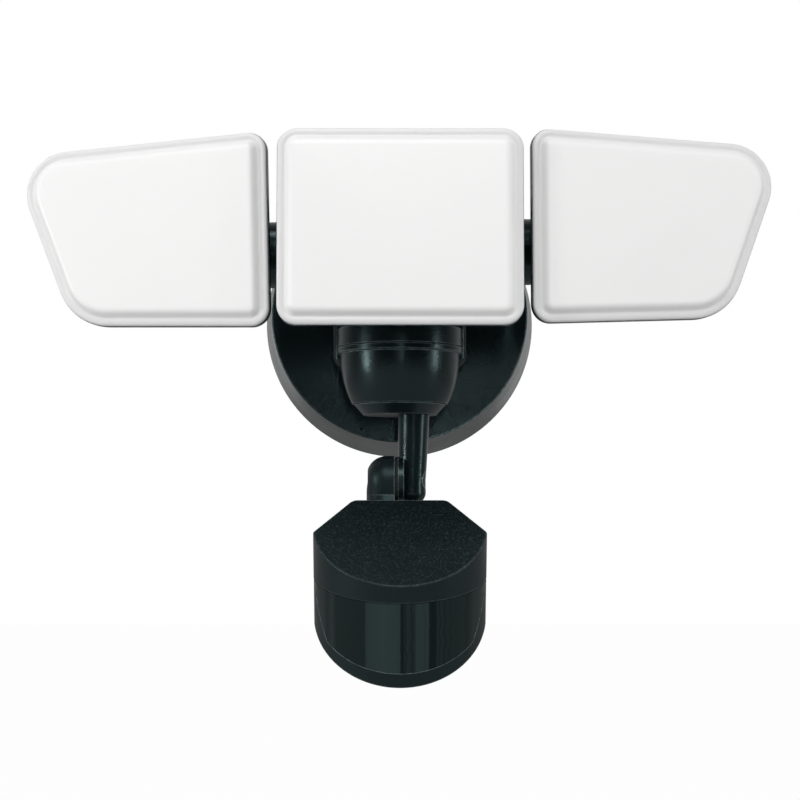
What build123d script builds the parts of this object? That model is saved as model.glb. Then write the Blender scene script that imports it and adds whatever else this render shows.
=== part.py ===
from build123d import *
import math
import os

# A wall-mounted security light with three lamp heads and a motion sensor.
# Millimetres. +Z is up, +X is to the right of someone who faces the light, and +Y goes
# into the wall. The origin is on the wall, at the centre of the round canopy.

# ---- Canopy, strap and driver --------------------------------------------------------
canopy_radius = 63.5
canopy_front_radius = 58.0
canopy_depth = 39.0
canopy_wall = 2.2
canopy_edge_round = 0.8
rim_land_width = 4.4
rim_land_thickness = 2.0
gasket_thickness = 1.5
gasket_inset = 0.5
strap_length = 106.0
strap_width = 19.0
strap_thickness = 1.8
strap_corner = 3.0
box_screw_spacing = 88.9
strap_slot_length = 8.0
strap_slot_width = 4.6
canopy_screw_spacing = 69.85
canopy_screw_radius = 2.0
canopy_screw_head_radius = 3.8
canopy_screw_head_height = 2.4
canopy_post_radius = 4.5
ground_screw_offset = 16.0
wire_hole_radius = 9.0
driver_length = 60.0
driver_height = 32.0
driver_depth = 18.5
driver_centre_height = 27.5
driver_wall = 1.5
driver_rib_height = 3.0
driver_part_height = 9.5
transformer_width = 17.0
transformer_height = 15.0
capacitor_radius = 5.0
choke_radius = 4.0
wire_block_length = 11.0
wire_block_width = 5.0
board_thickness = 1.6
board_gap = 0.3
terminal_length = 34.0
terminal_height = 12.0
terminal_depth = 14.0
terminal_centre_height = -31.5
terminal_pitch = 10.0
terminal_bore = 1.8

# ---- Hub: neck, drum, column and cross tube ------------------------------------------
hub_depth = 80.0
drum_radius = 26.65
drum_bottom = -19.4
drum_shoulder = -12.0
drum_wall = 3.0
column_radius = 17.0
column_top = 34.4
column_wall = 4.0
neck_base_width = 58.6
neck_side_draft = 0.3
neck_front_width = neck_base_width - 2 * neck_side_draft
neck_base_height = 61.0
neck_end_draft = 0.5
neck_front_height = neck_base_height - 2 * neck_end_draft
neck_middle = 3.7
neck_corner = 5.0
neck_wall = 2.5
neck_front_round = 3.0
neck_overlap = 14.0
neck_reach = hub_depth - neck_overlap
neck_flange = 4.0
neck_screw_half_spacing = 23.0
neck_screw_heights = (-19.0, 5.5)
neck_screw_radius = 1.95
neck_screw_length = 9.0
neck_boss_radius = 3.9
cap_thickness = 1.6
cap_spigot_depth = 4.0
arm_forward = 8.0
arm_depth = hub_depth + arm_forward
arm_height = 20.4
cross_tube_radius = 13.9
cross_tube_reach = 38.0
arm_bore_radius = 9.0
arm_bore_end = 17.0
arm_wire_radius = 4.5
left_wing_droop = 1.5

# ---- Collar, cup and sensor swivel ---------------------------------------------------
collar_radius = 26.9
collar_height = 3.2
collar_edge = 0.6
cup_top_radius = 25.5
cup_middle_radius = 24.3
cup_bottom_radius = 20.3
cup_height = 21.0
cup_wall = 2.4
cup_floor = 3.4
cup_screw_circle = 14.4
cup_screw_radius = 1.5
cup_screw_length = 16.0
cup_screw_recess = 1.9
cup_post_radius = 3.3
swivel_gap = 0.3
swivel_top_radius = 19.4
swivel_bottom_radius = 15.5
swivel_height = 4.3
swivel_spigot_radius = 7.94
swivel_spigot_length = 9.0
swivel_nut_radius = 10.4
running_clearance = 0.06

# ---- Sensor arm and its hinge --------------------------------------------------------
tube_top_radius = 6.7
tube_bottom_radius = 5.9
tube_left_side = -0.8
tube_bore_radius = 3.2
socket_depth = 2.8
hinge_height = -75.7
hinge_disc_radius = 10.2
arm_disc_thickness = 11.8
elbow_round = 5.0
hinge_bolt_radius = 2.0
friction_washer_radius = 9.8
friction_washer_thickness = 1.4
hinge_side_gap = 0.1
lug_thickness = 11.8
lug_round = 8.5
elbow_flange_thickness = 2.4

# ---- Sensor head, in its own frame (axis up, front forward) --------------------------
sensor_nod = 16.8
sensor_hinge_back = 26.3
sensor_hinge_up = 11.0
sensor_radius = 35.7
sensor_base_radius = 35.6
sensor_lens_radius = 35.5
sensor_cheek = 5.6
sensor_back = 13.8
sensor_back_half_width = 19.5
sensor_back_corner = 4.0
sensor_wall = 2.2
sensor_cut_reach = 60.0
sensor_lens_wall = 1.4
sensor_lens_back = 7.3
sensor_lens_end_slope = 0.605
roof_height = 0.3
roof_slope = -0.402
roof_edge_round = 0.7
lens_top_height = -21.9
lens_top_slope = 0.01
lens_bottom_height = -33.4
lens_bottom_slope = -0.479
base_bottom_height = -38.2
base_bottom_slope = -0.511
dial_radius = 5.2
dial_pitch = 15.0
dial_forward = 12.0
dial_shaft_radius = 1.5
sensor_screw_half_spacing = 24.0
sensor_screw_forward = -1.0

# ---- Lamp heads ----------------------------------------------------------------------
head_depth = 24.0
lens_skirt_depth = 5.2
lens_bead_depth = 2.6
lens_wall = 1.7
rim_lip_wall = 0.5
lens_lip_gap = 0.1
lens_inset = rim_lip_wall + lens_lip_gap
lens_flange_inset = 0.2
lens_bead_round = 1.3
plateau_foot_inset = 2.6
plateau_inset = 6.0
seal_thickness = 0.6
rim_height = 1.2
rim_lip_height = 1.3
housing_waist_depth = 16.0
housing_waist_inset = 2.8
housing_back_inset = 14.0
housing_land = 5.0
housing_floor_depth = 15.0
fin_thickness = 1.8
fin_pitch = 6.4
fin_height = 6.4
lens_screw_radius = 1.3
lens_screw_seat = 14.4
lens_post_radius = 2.7
lens_post_foot = 10.2
lens_post_inset = 8.4
smallest_corner = 2.0
led_size = 2.8
led_height = 0.8
led_pitch = 9.7
led_rows = 6
centre_led_columns = 8
side_led_columns = 6
side_led_middle = 42.0

centre_width = 97.2
centre_height = 78.2
centre_corner = 8.0
centre_middle = 22.9
centre_pin_forward = 14.0
centre_pin_depth = arm_depth + centre_pin_forward
centre_pin_behind_front = 36.0
centre_front = centre_pin_depth + centre_pin_behind_front
centre_pin_height = 8.0
centre_ear_radius = 6.0
centre_ear_thickness = 5.6
centre_tongue_half_width = 6.0
centre_pocket_half_width = 16.0
centre_pocket_radius = 7.4

side_yaw = 8.2
side_inner_height = 78.5
side_taper = 2.45
side_outer_lean = 20.3
side_reach = 94.1
side_inner_corner = 7.5
side_top_corner = 17.2
side_bottom_corner = 22.2
side_middle_above_arm = 4.1
side_pin_reach = 64.0
side_pin_from_edge = 17.3
side_pin_behind_front = 41.9
side_ear_radius = 7.0
side_ear_thickness = 5.0
side_tongue_half_height = 8.0
arm_collar_start = 38.3
arm_collar_end = 55.8
arm_spigot_end = 20.0
arm_groove_middle = 29.0
arm_groove_half_width = 2.3
arm_groove_radius = 7.0
lock_screw_radius = 2.0
pin_radius = 2.5
pin_head_radius = 4.4
pin_head_height = 2.4
ear_side_gap = 0.3

os.makedirs("parts", exist_ok=True)


# ---- Shared planes, outlines and fasteners -------------------------------------------
def keep(piece, name):
    piece.part.label = name
    export_step(piece.part, f"parts/{name}.step")


def facing(depth, x=0.0, z=0.0):
    """A plane parallel to the wall that looks away from it: local x is +X, local y is +Z."""
    return Plane(origin=(x, -depth, z), x_dir=(1, 0, 0), z_dir=(0, -1, 0))


def upright(height, depth=hub_depth):
    """A level plane at a height, centred on the hub's vertical axis."""
    return Plane(origin=(0, -depth, height), x_dir=(1, 0, 0), z_dir=(0, 0, 1))


def downward(height, depth=hub_depth):
    """A level plane that looks down, centred on the hub's vertical axis."""
    return Plane(origin=(0, -depth, height), x_dir=(1, 0, 0), z_dir=(0, 0, -1))


def local(plane, x, y, z):
    return plane.from_local_coords((x, y, z))


def turned_back(plane, depth):
    """The plane that looks backwards from a depth behind a head's front; its x is mirrored."""
    return Plane(origin=plane.offset(-depth).origin, x_dir=-plane.x_dir, z_dir=-plane.z_dir)


def level_in(plane, v):
    """In a head: the section at height v, with local x across and local y going back."""
    return Plane(origin=local(plane, 0, v, 0), x_dir=plane.x_dir, z_dir=plane.y_dir)


def across_in(plane, u):
    """In a head: the section at u, with local x going up and local y going forward."""
    return Plane(origin=local(plane, u, 0, 0), x_dir=plane.y_dir, z_dir=plane.x_dir)


def along_x(x, depth, height):
    """A section square to X: local x is +Y, local y is +Z."""
    return Plane(origin=(x, -depth, height), x_dir=(0, 1, 0), z_dir=(1, 0, 0))


def make_screws(plane, points, head_radius, head_height, shank_radius, shank_length):
    """Cross-recess pan heads that stand on the plane, with their shanks behind it."""
    recess_arm = head_radius * 1.1
    recess_width = head_radius * 0.26
    with BuildPart() as screws:
        with BuildSketch(plane):
            with Locations(*points):
                Circle(head_radius)
        extrude(amount=head_height)
        fillet(screws.edges().group_by(Axis(plane.origin, plane.z_dir))[-1], head_height * 0.45)
        with BuildSketch(plane.offset(head_height)):
            with Locations(*points):
                Rectangle(recess_arm, recess_width)
                Rectangle(recess_width, recess_arm)
        extrude(amount=-head_height * 0.6, mode=Mode.SUBTRACT)
        with BuildSketch(plane):
            with Locations(*points):
                Circle(shank_radius)
        extrude(amount=-shank_length)
    return screws


def make_hex_nut(plane, across_flats, height, bore):
    with BuildPart() as nut:
        with BuildSketch(plane):
            RegularPolygon(across_flats / 2, 6, major_radius=False)
            Circle(bore, mode=Mode.SUBTRACT)
        extrude(amount=height)
    return nut


# ---- Canopy and what it holds --------------------------------------------------------
canopy_screw_points = [(-canopy_screw_spacing / 2, 0), (canopy_screw_spacing / 2, 0)]
neck_screw_points = [
    (side * neck_screw_half_spacing, height) for side in (-1, 1) for height in neck_screw_heights
]
canopy_inner_face = canopy_depth - canopy_wall

with BuildPart() as wall_gasket:
    with BuildSketch(facing(0)):
        Circle(canopy_radius - gasket_inset)
        Circle(canopy_radius - rim_land_width + gasket_inset, mode=Mode.SUBTRACT)
    extrude(amount=gasket_thickness)
keep(wall_gasket, "wall_gasket")

with BuildPart() as mounting_strap:
    with BuildSketch(facing(0)):
        RectangleRounded(strap_length, strap_width, strap_corner)
        with Locations((-box_screw_spacing / 2, 0), (box_screw_spacing / 2, 0)):
            SlotOverall(strap_slot_length, strap_slot_width, mode=Mode.SUBTRACT)
        with Locations(*canopy_screw_points, (ground_screw_offset, 0)):
            Circle(canopy_screw_radius + running_clearance, mode=Mode.SUBTRACT)
    extrude(amount=strap_thickness)
keep(mounting_strap, "mounting_strap")

ground_screw = make_screws(
    facing(strap_thickness), [(ground_screw_offset, 0)], 3.6, 2.4,
    canopy_screw_radius, strap_thickness,
)
keep(ground_screw, "ground_screw")

with BuildPart() as canopy:
    with BuildSketch(Plane.XY):
        with BuildLine():
            Polyline(
                (0, -canopy_depth),
                (canopy_front_radius, -canopy_depth),
                (canopy_radius, -gasket_thickness),
                (canopy_radius - rim_land_width, -gasket_thickness),
                (canopy_radius - rim_land_width, -gasket_thickness - rim_land_thickness),
                (canopy_radius - canopy_wall, -gasket_thickness - rim_land_thickness),
                (canopy_front_radius - canopy_wall, -canopy_inner_face),
                (0, -canopy_inner_face),
                close=True,
            )
        make_face()
    revolve(axis=Axis.Y)
    fillet(canopy.edges().group_by(Axis.Y)[0], canopy_edge_round)
    with BuildSketch(facing(canopy_depth - canopy_wall / 2)):
        with Locations(*canopy_screw_points):
            Circle(canopy_post_radius)
    extrude(amount=-(canopy_depth - canopy_wall / 2 - strap_thickness))
    with BuildSketch(facing(0)):
        Circle(wire_hole_radius)
        with Locations(*canopy_screw_points):
            Circle(canopy_screw_radius + 2 * running_clearance)
        with Locations(*neck_screw_points):
            Circle(neck_screw_radius + running_clearance)
    extrude(amount=canopy_depth + 1, mode=Mode.SUBTRACT)
keep(canopy, "canopy")

canopy_screws = make_screws(
    facing(canopy_depth), canopy_screw_points, canopy_screw_head_radius,
    canopy_screw_head_height, canopy_screw_radius, canopy_depth - 0.2,
)
keep(canopy_screws, "canopy_screws")

inner_face = Plane(origin=(0, -canopy_inner_face, 0), x_dir=(-1, 0, 0), z_dir=(0, 1, 0))
neck_screws = make_screws(
    inner_face, [(-x, y) for x, y in neck_screw_points], 3.5, 2.2,
    neck_screw_radius, canopy_wall + neck_screw_length,
)
keep(neck_screws, "neck_screws")

driver_floor = facing(canopy_inner_face, z=driver_centre_height)
board_depth = canopy_inner_face - driver_wall - driver_rib_height
with BuildPart() as driver_case:
    with BuildSketch(driver_floor):
        RectangleRounded(driver_length, driver_height, 2.0)
    extrude(amount=-driver_depth)
    with BuildSketch(driver_floor.offset(-driver_wall)):
        Rectangle(driver_length - 2 * driver_wall, driver_height - 2 * driver_wall)
    extrude(amount=-driver_depth, mode=Mode.SUBTRACT)
    with BuildSketch(driver_floor.offset(-driver_wall / 2)):
        with GridLocations(0, driver_height * 0.6, 1, 2):
            Rectangle(driver_length - driver_wall, 3.0)
    extrude(amount=-(driver_wall / 2 + driver_rib_height))
keep(driver_case, "driver_case")

board_plane = facing(board_depth, z=driver_centre_height)
with BuildPart() as driver_board:
    with BuildSketch(board_plane):
        Rectangle(
            driver_length - 2 * driver_wall - 2 * board_gap,
            driver_height - 2 * driver_wall - 2 * board_gap,
        )
    extrude(amount=-board_thickness)
    with BuildSketch(board_plane.offset(-board_thickness)):
        with Locations((2, 0)):
            Rectangle(transformer_width, transformer_height)
        with Locations((-20, 6), (-20, -6)):
            Circle(capacitor_radius)
        with Locations((20, 5)):
            Circle(choke_radius)
        with Locations((19, -7)):
            Rectangle(wire_block_length, wire_block_width)
    extrude(amount=-driver_part_height)
keep(driver_board, "driver_board")

with BuildPart() as driver_cover:
    with BuildSketch(driver_floor.offset(-driver_depth)):
        RectangleRounded(driver_length, driver_height, 2.0)
    extrude(amount=-driver_wall)
    with BuildSketch(driver_floor.offset(-driver_depth)):
        Rectangle(
            driver_length - 2 * driver_wall - 2 * board_gap,
            driver_height - 2 * driver_wall - 2 * board_gap,
        )
        Rectangle(
            driver_length - 4 * driver_wall, driver_height - 4 * driver_wall, mode=Mode.SUBTRACT
        )
    extrude(amount=1.5)
keep(driver_cover, "driver_cover")

terminal_plane = facing(canopy_inner_face, z=terminal_centre_height)
terminal_points = [(-terminal_pitch, 0), (0, 0), (terminal_pitch, 0)]
with BuildPart() as terminal_block:
    with BuildSketch(terminal_plane):
        Rectangle(terminal_length, terminal_height)
    extrude(amount=-terminal_depth)
    with BuildSketch(terminal_plane.offset(-terminal_depth)):
        with Locations(*terminal_points):
            Circle(3.0)
    extrude(amount=terminal_depth * 0.5, mode=Mode.SUBTRACT)
    with BuildSketch(upright(terminal_centre_height, canopy_inner_face - terminal_depth * 0.3)):
        with Locations(*terminal_points):
            Circle(terminal_bore)
    extrude(amount=terminal_height, both=True, mode=Mode.SUBTRACT)
keep(terminal_block, "terminal_block")

# ---- Frames of the wings and heads ---------------------------------------------------
arm_axis_point = Vector(0, -arm_depth, arm_height)
droop_turn = Pos(arm_axis_point) * Rot(0, -left_wing_droop, 0) * Pos(-arm_axis_point)


def wing_plane(side):
    """Looks away from the wall at the arm axis; the left wing hangs slightly low."""
    level = Plane(origin=arm_axis_point, x_dir=(1, 0, 0), z_dir=(0, -1, 0))
    if side > 0:
        return level
    return Plane(droop_turn * level.location)


def side_head_plane(side):
    """Origin at the middle of the inner edge, on the front of the lens."""
    yaw = math.radians(side_yaw)
    back = side_pin_behind_front
    along = side_pin_from_edge
    x = side_pin_reach - along * math.cos(yaw) + back * math.sin(yaw)
    y = -arm_depth - along * math.sin(yaw) - back * math.cos(yaw)
    z = arm_height + side_middle_above_arm
    level = Plane(
        origin=(side * x, y, z),
        x_dir=(math.cos(yaw), side * math.sin(yaw), 0),
        z_dir=(side * math.sin(yaw), -math.cos(yaw), 0),
    )
    if side > 0:
        return level
    return Plane(droop_turn * level.location)


centre_plane = facing(centre_front, z=centre_middle)


# ---- Hub housing: one casting with the neck, drum, column and cross tube -------------
def cross_tube(side, radius, start, end):
    wing = wing_plane(side)
    section = Plane(
        origin=local(wing, side * start, 0, 0), x_dir=wing.y_dir, z_dir=wing.x_dir * side
    )
    with BuildPart() as tube:
        with BuildSketch(section):
            Circle(radius)
        extrude(amount=end - start)
    return tube.part


hub_section = facing(hub_depth)
hub_axis = Axis((0, -hub_depth, 0), (0, 0, 1))
shoulder_rise = drum_radius - column_radius
neck_hollow_top = neck_middle + neck_front_height / 2 - neck_wall
neck_hollow_bottom = drum_bottom + neck_wall
neck_hollow_height = neck_hollow_top - neck_hollow_bottom
neck_hollow_middle = (neck_hollow_top + neck_hollow_bottom) / 2
with BuildPart() as hub_housing:
    with BuildSketch(facing(canopy_depth, z=neck_middle)):
        RectangleRounded(neck_base_width, neck_base_height, neck_corner)
    with BuildSketch(facing(neck_reach, z=neck_middle)):
        RectangleRounded(neck_front_width, neck_front_height, neck_corner)
    loft()
    fillet(hub_housing.faces().sort_by(Axis.Y)[0].edges(), neck_front_round)
    with BuildSketch(hub_section):
        with BuildLine():
            Polyline(
                (0, drum_bottom), (drum_radius, drum_bottom), (drum_radius, drum_shoulder),
                (column_radius, drum_shoulder + shoulder_rise), (column_radius, column_top),
                (0, column_top), close=True,
            )
        make_face()
    revolve(axis=hub_axis)
    add(cross_tube(1, cross_tube_radius, 0, cross_tube_reach))
    add(cross_tube(-1, cross_tube_radius, 0, cross_tube_reach))
    with BuildSketch(along_x(-centre_tongue_half_width, centre_pin_depth, centre_pin_height)):
        Circle(centre_ear_radius)
        with Locations((10, 0)):
            Rectangle(20, 2 * centre_ear_radius)
    extrude(amount=2 * centre_tongue_half_width)
    # hollow inside
    with BuildSketch(hub_section):
        with BuildLine():
            Polyline(
                (0, drum_bottom),
                (drum_radius - drum_wall, drum_bottom),
                (drum_radius - drum_wall, drum_shoulder - 1),
                (column_radius - column_wall, drum_shoulder - 1 + shoulder_rise),
                (column_radius - column_wall, column_top),
                (0, column_top),
                close=True,
            )
        make_face()
    revolve(axis=hub_axis, mode=Mode.SUBTRACT)
    with BuildSketch(facing(canopy_depth + neck_flange, z=neck_hollow_middle)):
        RectangleRounded(
            neck_base_width - 2 * neck_wall, neck_hollow_height, neck_corner - neck_wall
        )
    with BuildSketch(facing(neck_reach - neck_wall, z=neck_hollow_middle)):
        RectangleRounded(
            neck_front_width - 2 * neck_wall, neck_hollow_height, neck_corner - neck_wall
        )
    loft(mode=Mode.SUBTRACT)
    # relief for the collar and cup below the drum
    with BuildSketch(upright(drum_bottom)):
        Circle(collar_radius + ear_side_gap)
    extrude(amount=-neck_base_height, mode=Mode.SUBTRACT)
    # bosses for the neck screws and posts for the cup screws
    with BuildSketch(facing(canopy_depth)):
        with Locations(*neck_screw_points):
            Circle(neck_boss_radius)
    extrude(amount=neck_screw_length + 2)
    with BuildSketch(upright(0)):
        with PolarLocations(cup_screw_circle, 3, start_angle=90):
            Circle(cup_post_radius)
    extrude(amount=drum_bottom - collar_height - cup_height + cup_floor)
    # holes: wires, screws, arm bores, hinge pocket and pin
    with BuildSketch(facing(canopy_depth)):
        Circle(wire_hole_radius)
    extrude(amount=neck_flange + 1, mode=Mode.SUBTRACT)
    with BuildSketch(facing(canopy_depth)):
        with Locations(*neck_screw_points):
            Circle(neck_screw_radius + running_clearance)
    extrude(amount=neck_screw_length + 0.5, mode=Mode.SUBTRACT)
    with BuildSketch(upright(drum_bottom - collar_height - cup_height + cup_floor)):
        with PolarLocations(cup_screw_circle, 3, start_angle=90):
            Circle(cup_screw_radius + running_clearance)
    extrude(amount=cup_height, mode=Mode.SUBTRACT)
    for side in (1, -1):
        add(cross_tube(side, arm_bore_radius, arm_bore_end, cross_tube_reach + 1), mode=Mode.SUBTRACT)
        add(cross_tube(side, arm_wire_radius, 4, arm_bore_end + 1), mode=Mode.SUBTRACT)
        pocket = along_x(
            side * centre_tongue_half_width, centre_pin_depth, centre_pin_height
        )
        with BuildSketch(pocket):
            Circle(centre_pocket_radius)
            with Locations((-10, 0)):
                Rectangle(20, 2 * centre_pocket_radius)
        extrude(
            amount=side * (centre_pocket_half_width - centre_tongue_half_width), mode=Mode.SUBTRACT
        )
        lock_hole = Plane(
            origin=local(wing_plane(side), side * arm_groove_middle, 0, 0),
            x_dir=wing_plane(side).x_dir, z_dir=-wing_plane(side).z_dir,
        )
        with BuildSketch(lock_hole):
            Circle(lock_screw_radius + running_clearance)
        extrude(amount=cross_tube_radius + 1, mode=Mode.SUBTRACT)
    with BuildSketch(along_x(-centre_tongue_half_width - 1, centre_pin_depth, centre_pin_height)):
        Circle(pin_radius + running_clearance)
    extrude(amount=2 * centre_tongue_half_width + 2, mode=Mode.SUBTRACT)
keep(hub_housing, "hub_housing")

with BuildPart() as hub_cap:
    with BuildSketch(upright(column_top)):
        Circle(column_radius)
    extrude(amount=cap_thickness)
    fillet(hub_cap.edges().group_by(Axis.Z)[-1], cap_thickness * 0.7)
    with BuildSketch(upright(column_top)):
        Circle(column_radius - column_wall - running_clearance)
    extrude(amount=-cap_spigot_depth)
    with BuildSketch(upright(column_top - cap_spigot_depth)):
        Circle(column_radius - 2 * column_wall)
    extrude(amount=cap_spigot_depth, mode=Mode.SUBTRACT)
keep(hub_cap, "hub_cap")

with BuildPart() as arm_lock_screws:
    for side in (1, -1):
        wing = wing_plane(side)
        seat = Plane(
            origin=local(wing, side * arm_groove_middle, 0, -arm_groove_radius - ear_side_gap),
            x_dir=wing.x_dir, z_dir=-wing.z_dir,
        )
        with BuildSketch(seat):
            Circle(lock_screw_radius)
        extrude(amount=cross_tube_radius - arm_groove_radius - 1)
        with BuildSketch(seat.offset(cross_tube_radius - arm_groove_radius - 1)):
            RegularPolygon(1.1, 6)
        extrude(amount=-2, mode=Mode.SUBTRACT)
keep(arm_lock_screws, "arm_lock_screws")

# ---- Collar, cup and swivel ----------------------------------------------------------
cup_top = drum_bottom - collar_height
cup_bottom = cup_top - cup_height
with BuildPart() as collar_ring:
    with BuildSketch(upright(drum_bottom)):
        Circle(collar_radius)
        Circle(drum_radius - drum_wall, mode=Mode.SUBTRACT)
    extrude(amount=-collar_height)
    chamfer(
        collar_ring.edges().filter_by(GeomType.CIRCLE).sort_by(SortBy.RADIUS)[-2:], collar_edge
    )
keep(collar_ring, "collar_ring")

with BuildPart() as lower_cup:
    with BuildSketch(hub_section):
        with BuildLine():
            Line((0, cup_bottom), (cup_bottom_radius, cup_bottom))
            ThreePointArc(
                (cup_bottom_radius, cup_bottom),
                (cup_middle_radius, (cup_top + cup_bottom) / 2),
                (cup_top_radius, cup_top),
            )
            Line((cup_top_radius, cup_top), (cup_top_radius - cup_wall, cup_top))
            ThreePointArc(
                (cup_top_radius - cup_wall, cup_top),
                (cup_middle_radius - cup_wall, (cup_top + cup_bottom) / 2),
                (cup_bottom_radius - cup_wall, cup_bottom + cup_floor),
            )
            Polyline(
                (cup_bottom_radius - cup_wall, cup_bottom + cup_floor),
                (0, cup_bottom + cup_floor), (0, cup_bottom),
            )
        make_face()
    revolve(axis=hub_axis)
    with BuildSketch(upright(cup_bottom)):
        Circle(swivel_spigot_radius + running_clearance)
        with PolarLocations(cup_screw_circle, 3, start_angle=90):
            Circle(cup_screw_radius + running_clearance)
    extrude(amount=cup_floor, mode=Mode.SUBTRACT)
    with BuildSketch(upright(cup_bottom)):
        with PolarLocations(cup_screw_circle, 3, start_angle=90):
            Circle(3.0)
    extrude(amount=cup_screw_recess, mode=Mode.SUBTRACT)
keep(lower_cup, "lower_cup")

cup_screw_points = [
    (cup_screw_circle * math.cos(math.radians(a)), -cup_screw_circle * math.sin(math.radians(a)))
    for a in (90, 210, 330)
]
cup_screws = make_screws(
    downward(cup_bottom + cup_screw_recess), cup_screw_points, 2.8, cup_screw_recess - 0.2,
    cup_screw_radius, cup_screw_length,
)
keep(cup_screws, "cup_screws")

swivel_top = cup_bottom - swivel_gap
swivel_bottom = swivel_top - swivel_height
tube_top_centre = tube_left_side + tube_top_radius
tube_bottom_centre = tube_left_side + tube_bottom_radius
spigot_top = swivel_top + swivel_gap + cup_floor + swivel_spigot_length
with BuildPart() as swivel_ring:
    with BuildSketch(hub_section):
        with BuildLine():
            Polyline(
                (0, swivel_bottom), (swivel_bottom_radius, swivel_bottom),
                (swivel_top_radius, swivel_top), (swivel_spigot_radius, swivel_top),
                (swivel_spigot_radius, spigot_top), (0, spigot_top), close=True,
            )
        make_face()
    revolve(axis=hub_axis)
    with BuildSketch(upright(swivel_bottom)):
        with Locations((tube_top_centre, 0)):
            Circle(tube_top_radius + 0.05)
    extrude(amount=socket_depth, mode=Mode.SUBTRACT)
    with BuildSketch(upright(swivel_bottom + socket_depth / 2)):
        Circle(arm_wire_radius)
    extrude(amount=60, mode=Mode.SUBTRACT)
keep(swivel_ring, "swivel_ring")

swivel_nut = make_hex_nut(
    upright(cup_bottom + cup_floor + swivel_gap), 2 * swivel_nut_radius * 0.86, 4.0,
    swivel_spigot_radius + running_clearance,
)
keep(swivel_nut, "swivel_nut")

# ---- Sensor arm ----------------------------------------------------------------------
elbow_plane = along_x(tube_left_side, hub_depth, hinge_height)
with BuildPart() as sensor_arm:
    with BuildSketch(upright(hinge_height - hinge_disc_radius)):
        with Locations((tube_bottom_centre, 0)):
            Circle(tube_bottom_radius)
    extrude(amount=hinge_disc_radius)
    fillet(sensor_arm.edges().group_by(Axis.Z)[0], elbow_round)
    with BuildSketch(elbow_plane):
        Circle(hinge_disc_radius)
    extrude(amount=elbow_flange_thickness)
    with BuildSketch(upright(hinge_height)):
        with Locations((tube_bottom_centre, 0)):
            Circle(tube_bottom_radius)
    with BuildSketch(upright(swivel_bottom)):
        with Locations((tube_top_centre, 0)):
            Circle(tube_top_radius)
    loft()
    with BuildSketch(upright(swivel_bottom)):
        with Locations((tube_top_centre, 0)):
            Circle(tube_top_radius)
    extrude(amount=socket_depth - 0.1)
    with BuildSketch(upright(hinge_height + hinge_disc_radius)):
        with Locations((tube_top_centre, 0)):
            Circle(tube_bore_radius)
    extrude(amount=60, mode=Mode.SUBTRACT)
    with BuildSketch(elbow_plane):
        Circle(hinge_bolt_radius + running_clearance)
    extrude(amount=arm_disc_thickness, mode=Mode.SUBTRACT)
    with BuildSketch(elbow_plane.offset(arm_disc_thickness)):
        Circle(4.1)
    extrude(amount=-4.2, mode=Mode.SUBTRACT)
keep(sensor_arm, "sensor_arm")

lug_right = tube_left_side - friction_washer_thickness - hinge_side_gap
lug_left = lug_right - lug_thickness
with BuildPart() as friction_washer:
    with BuildSketch(elbow_plane):
        Circle(friction_washer_radius)
        Circle(hinge_bolt_radius + running_clearance, mode=Mode.SUBTRACT)
    extrude(amount=-friction_washer_thickness)
keep(friction_washer, "friction_washer")

bolt_seat = elbow_plane.offset(arm_disc_thickness - 4.2)
with BuildPart() as tilt_bolt:
    with BuildSketch(bolt_seat):
        Circle(3.7)
    extrude(amount=3.4)
    with BuildSketch(bolt_seat.offset(3.4)):
        RegularPolygon(1.7, 6)
    extrude(amount=-1.8, mode=Mode.SUBTRACT)
    with BuildSketch(bolt_seat):
        Circle(hinge_bolt_radius)
    extrude(amount=-(arm_disc_thickness - 4.2 + tube_left_side - lug_left - 0.8))
keep(tilt_bolt, "tilt_bolt")

nut_recess_depth = 3.8
nut_plane = along_x(lug_left + nut_recess_depth - 0.2, hub_depth, hinge_height)
tilt_nut = make_hex_nut(nut_plane, 7.0, -3.0, hinge_bolt_radius + running_clearance)
keep(tilt_nut, "tilt_nut")

# ---- Sensor head ---------------------------------------------------------------------
nod = math.radians(sensor_nod)
sensor_up = Vector(0, -math.sin(nod), math.cos(nod))
sensor_rear = Vector(0, math.cos(nod), math.sin(nod))
hinge_point = Vector(0, -hub_depth, hinge_height)
sensor_origin = hinge_point - sensor_rear * sensor_hinge_back - sensor_up * sensor_hinge_up
sensor_plane = Plane(origin=sensor_origin, x_dir=(1, 0, 0), z_dir=sensor_up)


def sloped(height, slope):
    """A cut across the sensor: at this height on its axis, rising by slope towards the front."""
    return Plane(
        origin=local(sensor_plane, 0, 0, height), x_dir=(1, 0, 0),
        z_dir=sensor_plane.z_dir + sensor_plane.y_dir * slope,
    )


roof_cut = sloped(roof_height, roof_slope)
lens_top_cut = sloped(lens_top_height, lens_top_slope)
lens_bottom_cut = sloped(lens_bottom_height, lens_bottom_slope)
bottom_cut = sloped(base_bottom_height, base_bottom_slope)
lens_back_cut = Plane(
    origin=local(sensor_plane, 0, -sensor_lens_back, lens_top_height), x_dir=(1, 0, 0),
    z_dir=sensor_plane.z_dir * sensor_lens_end_slope - sensor_plane.y_dir,
)


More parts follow.
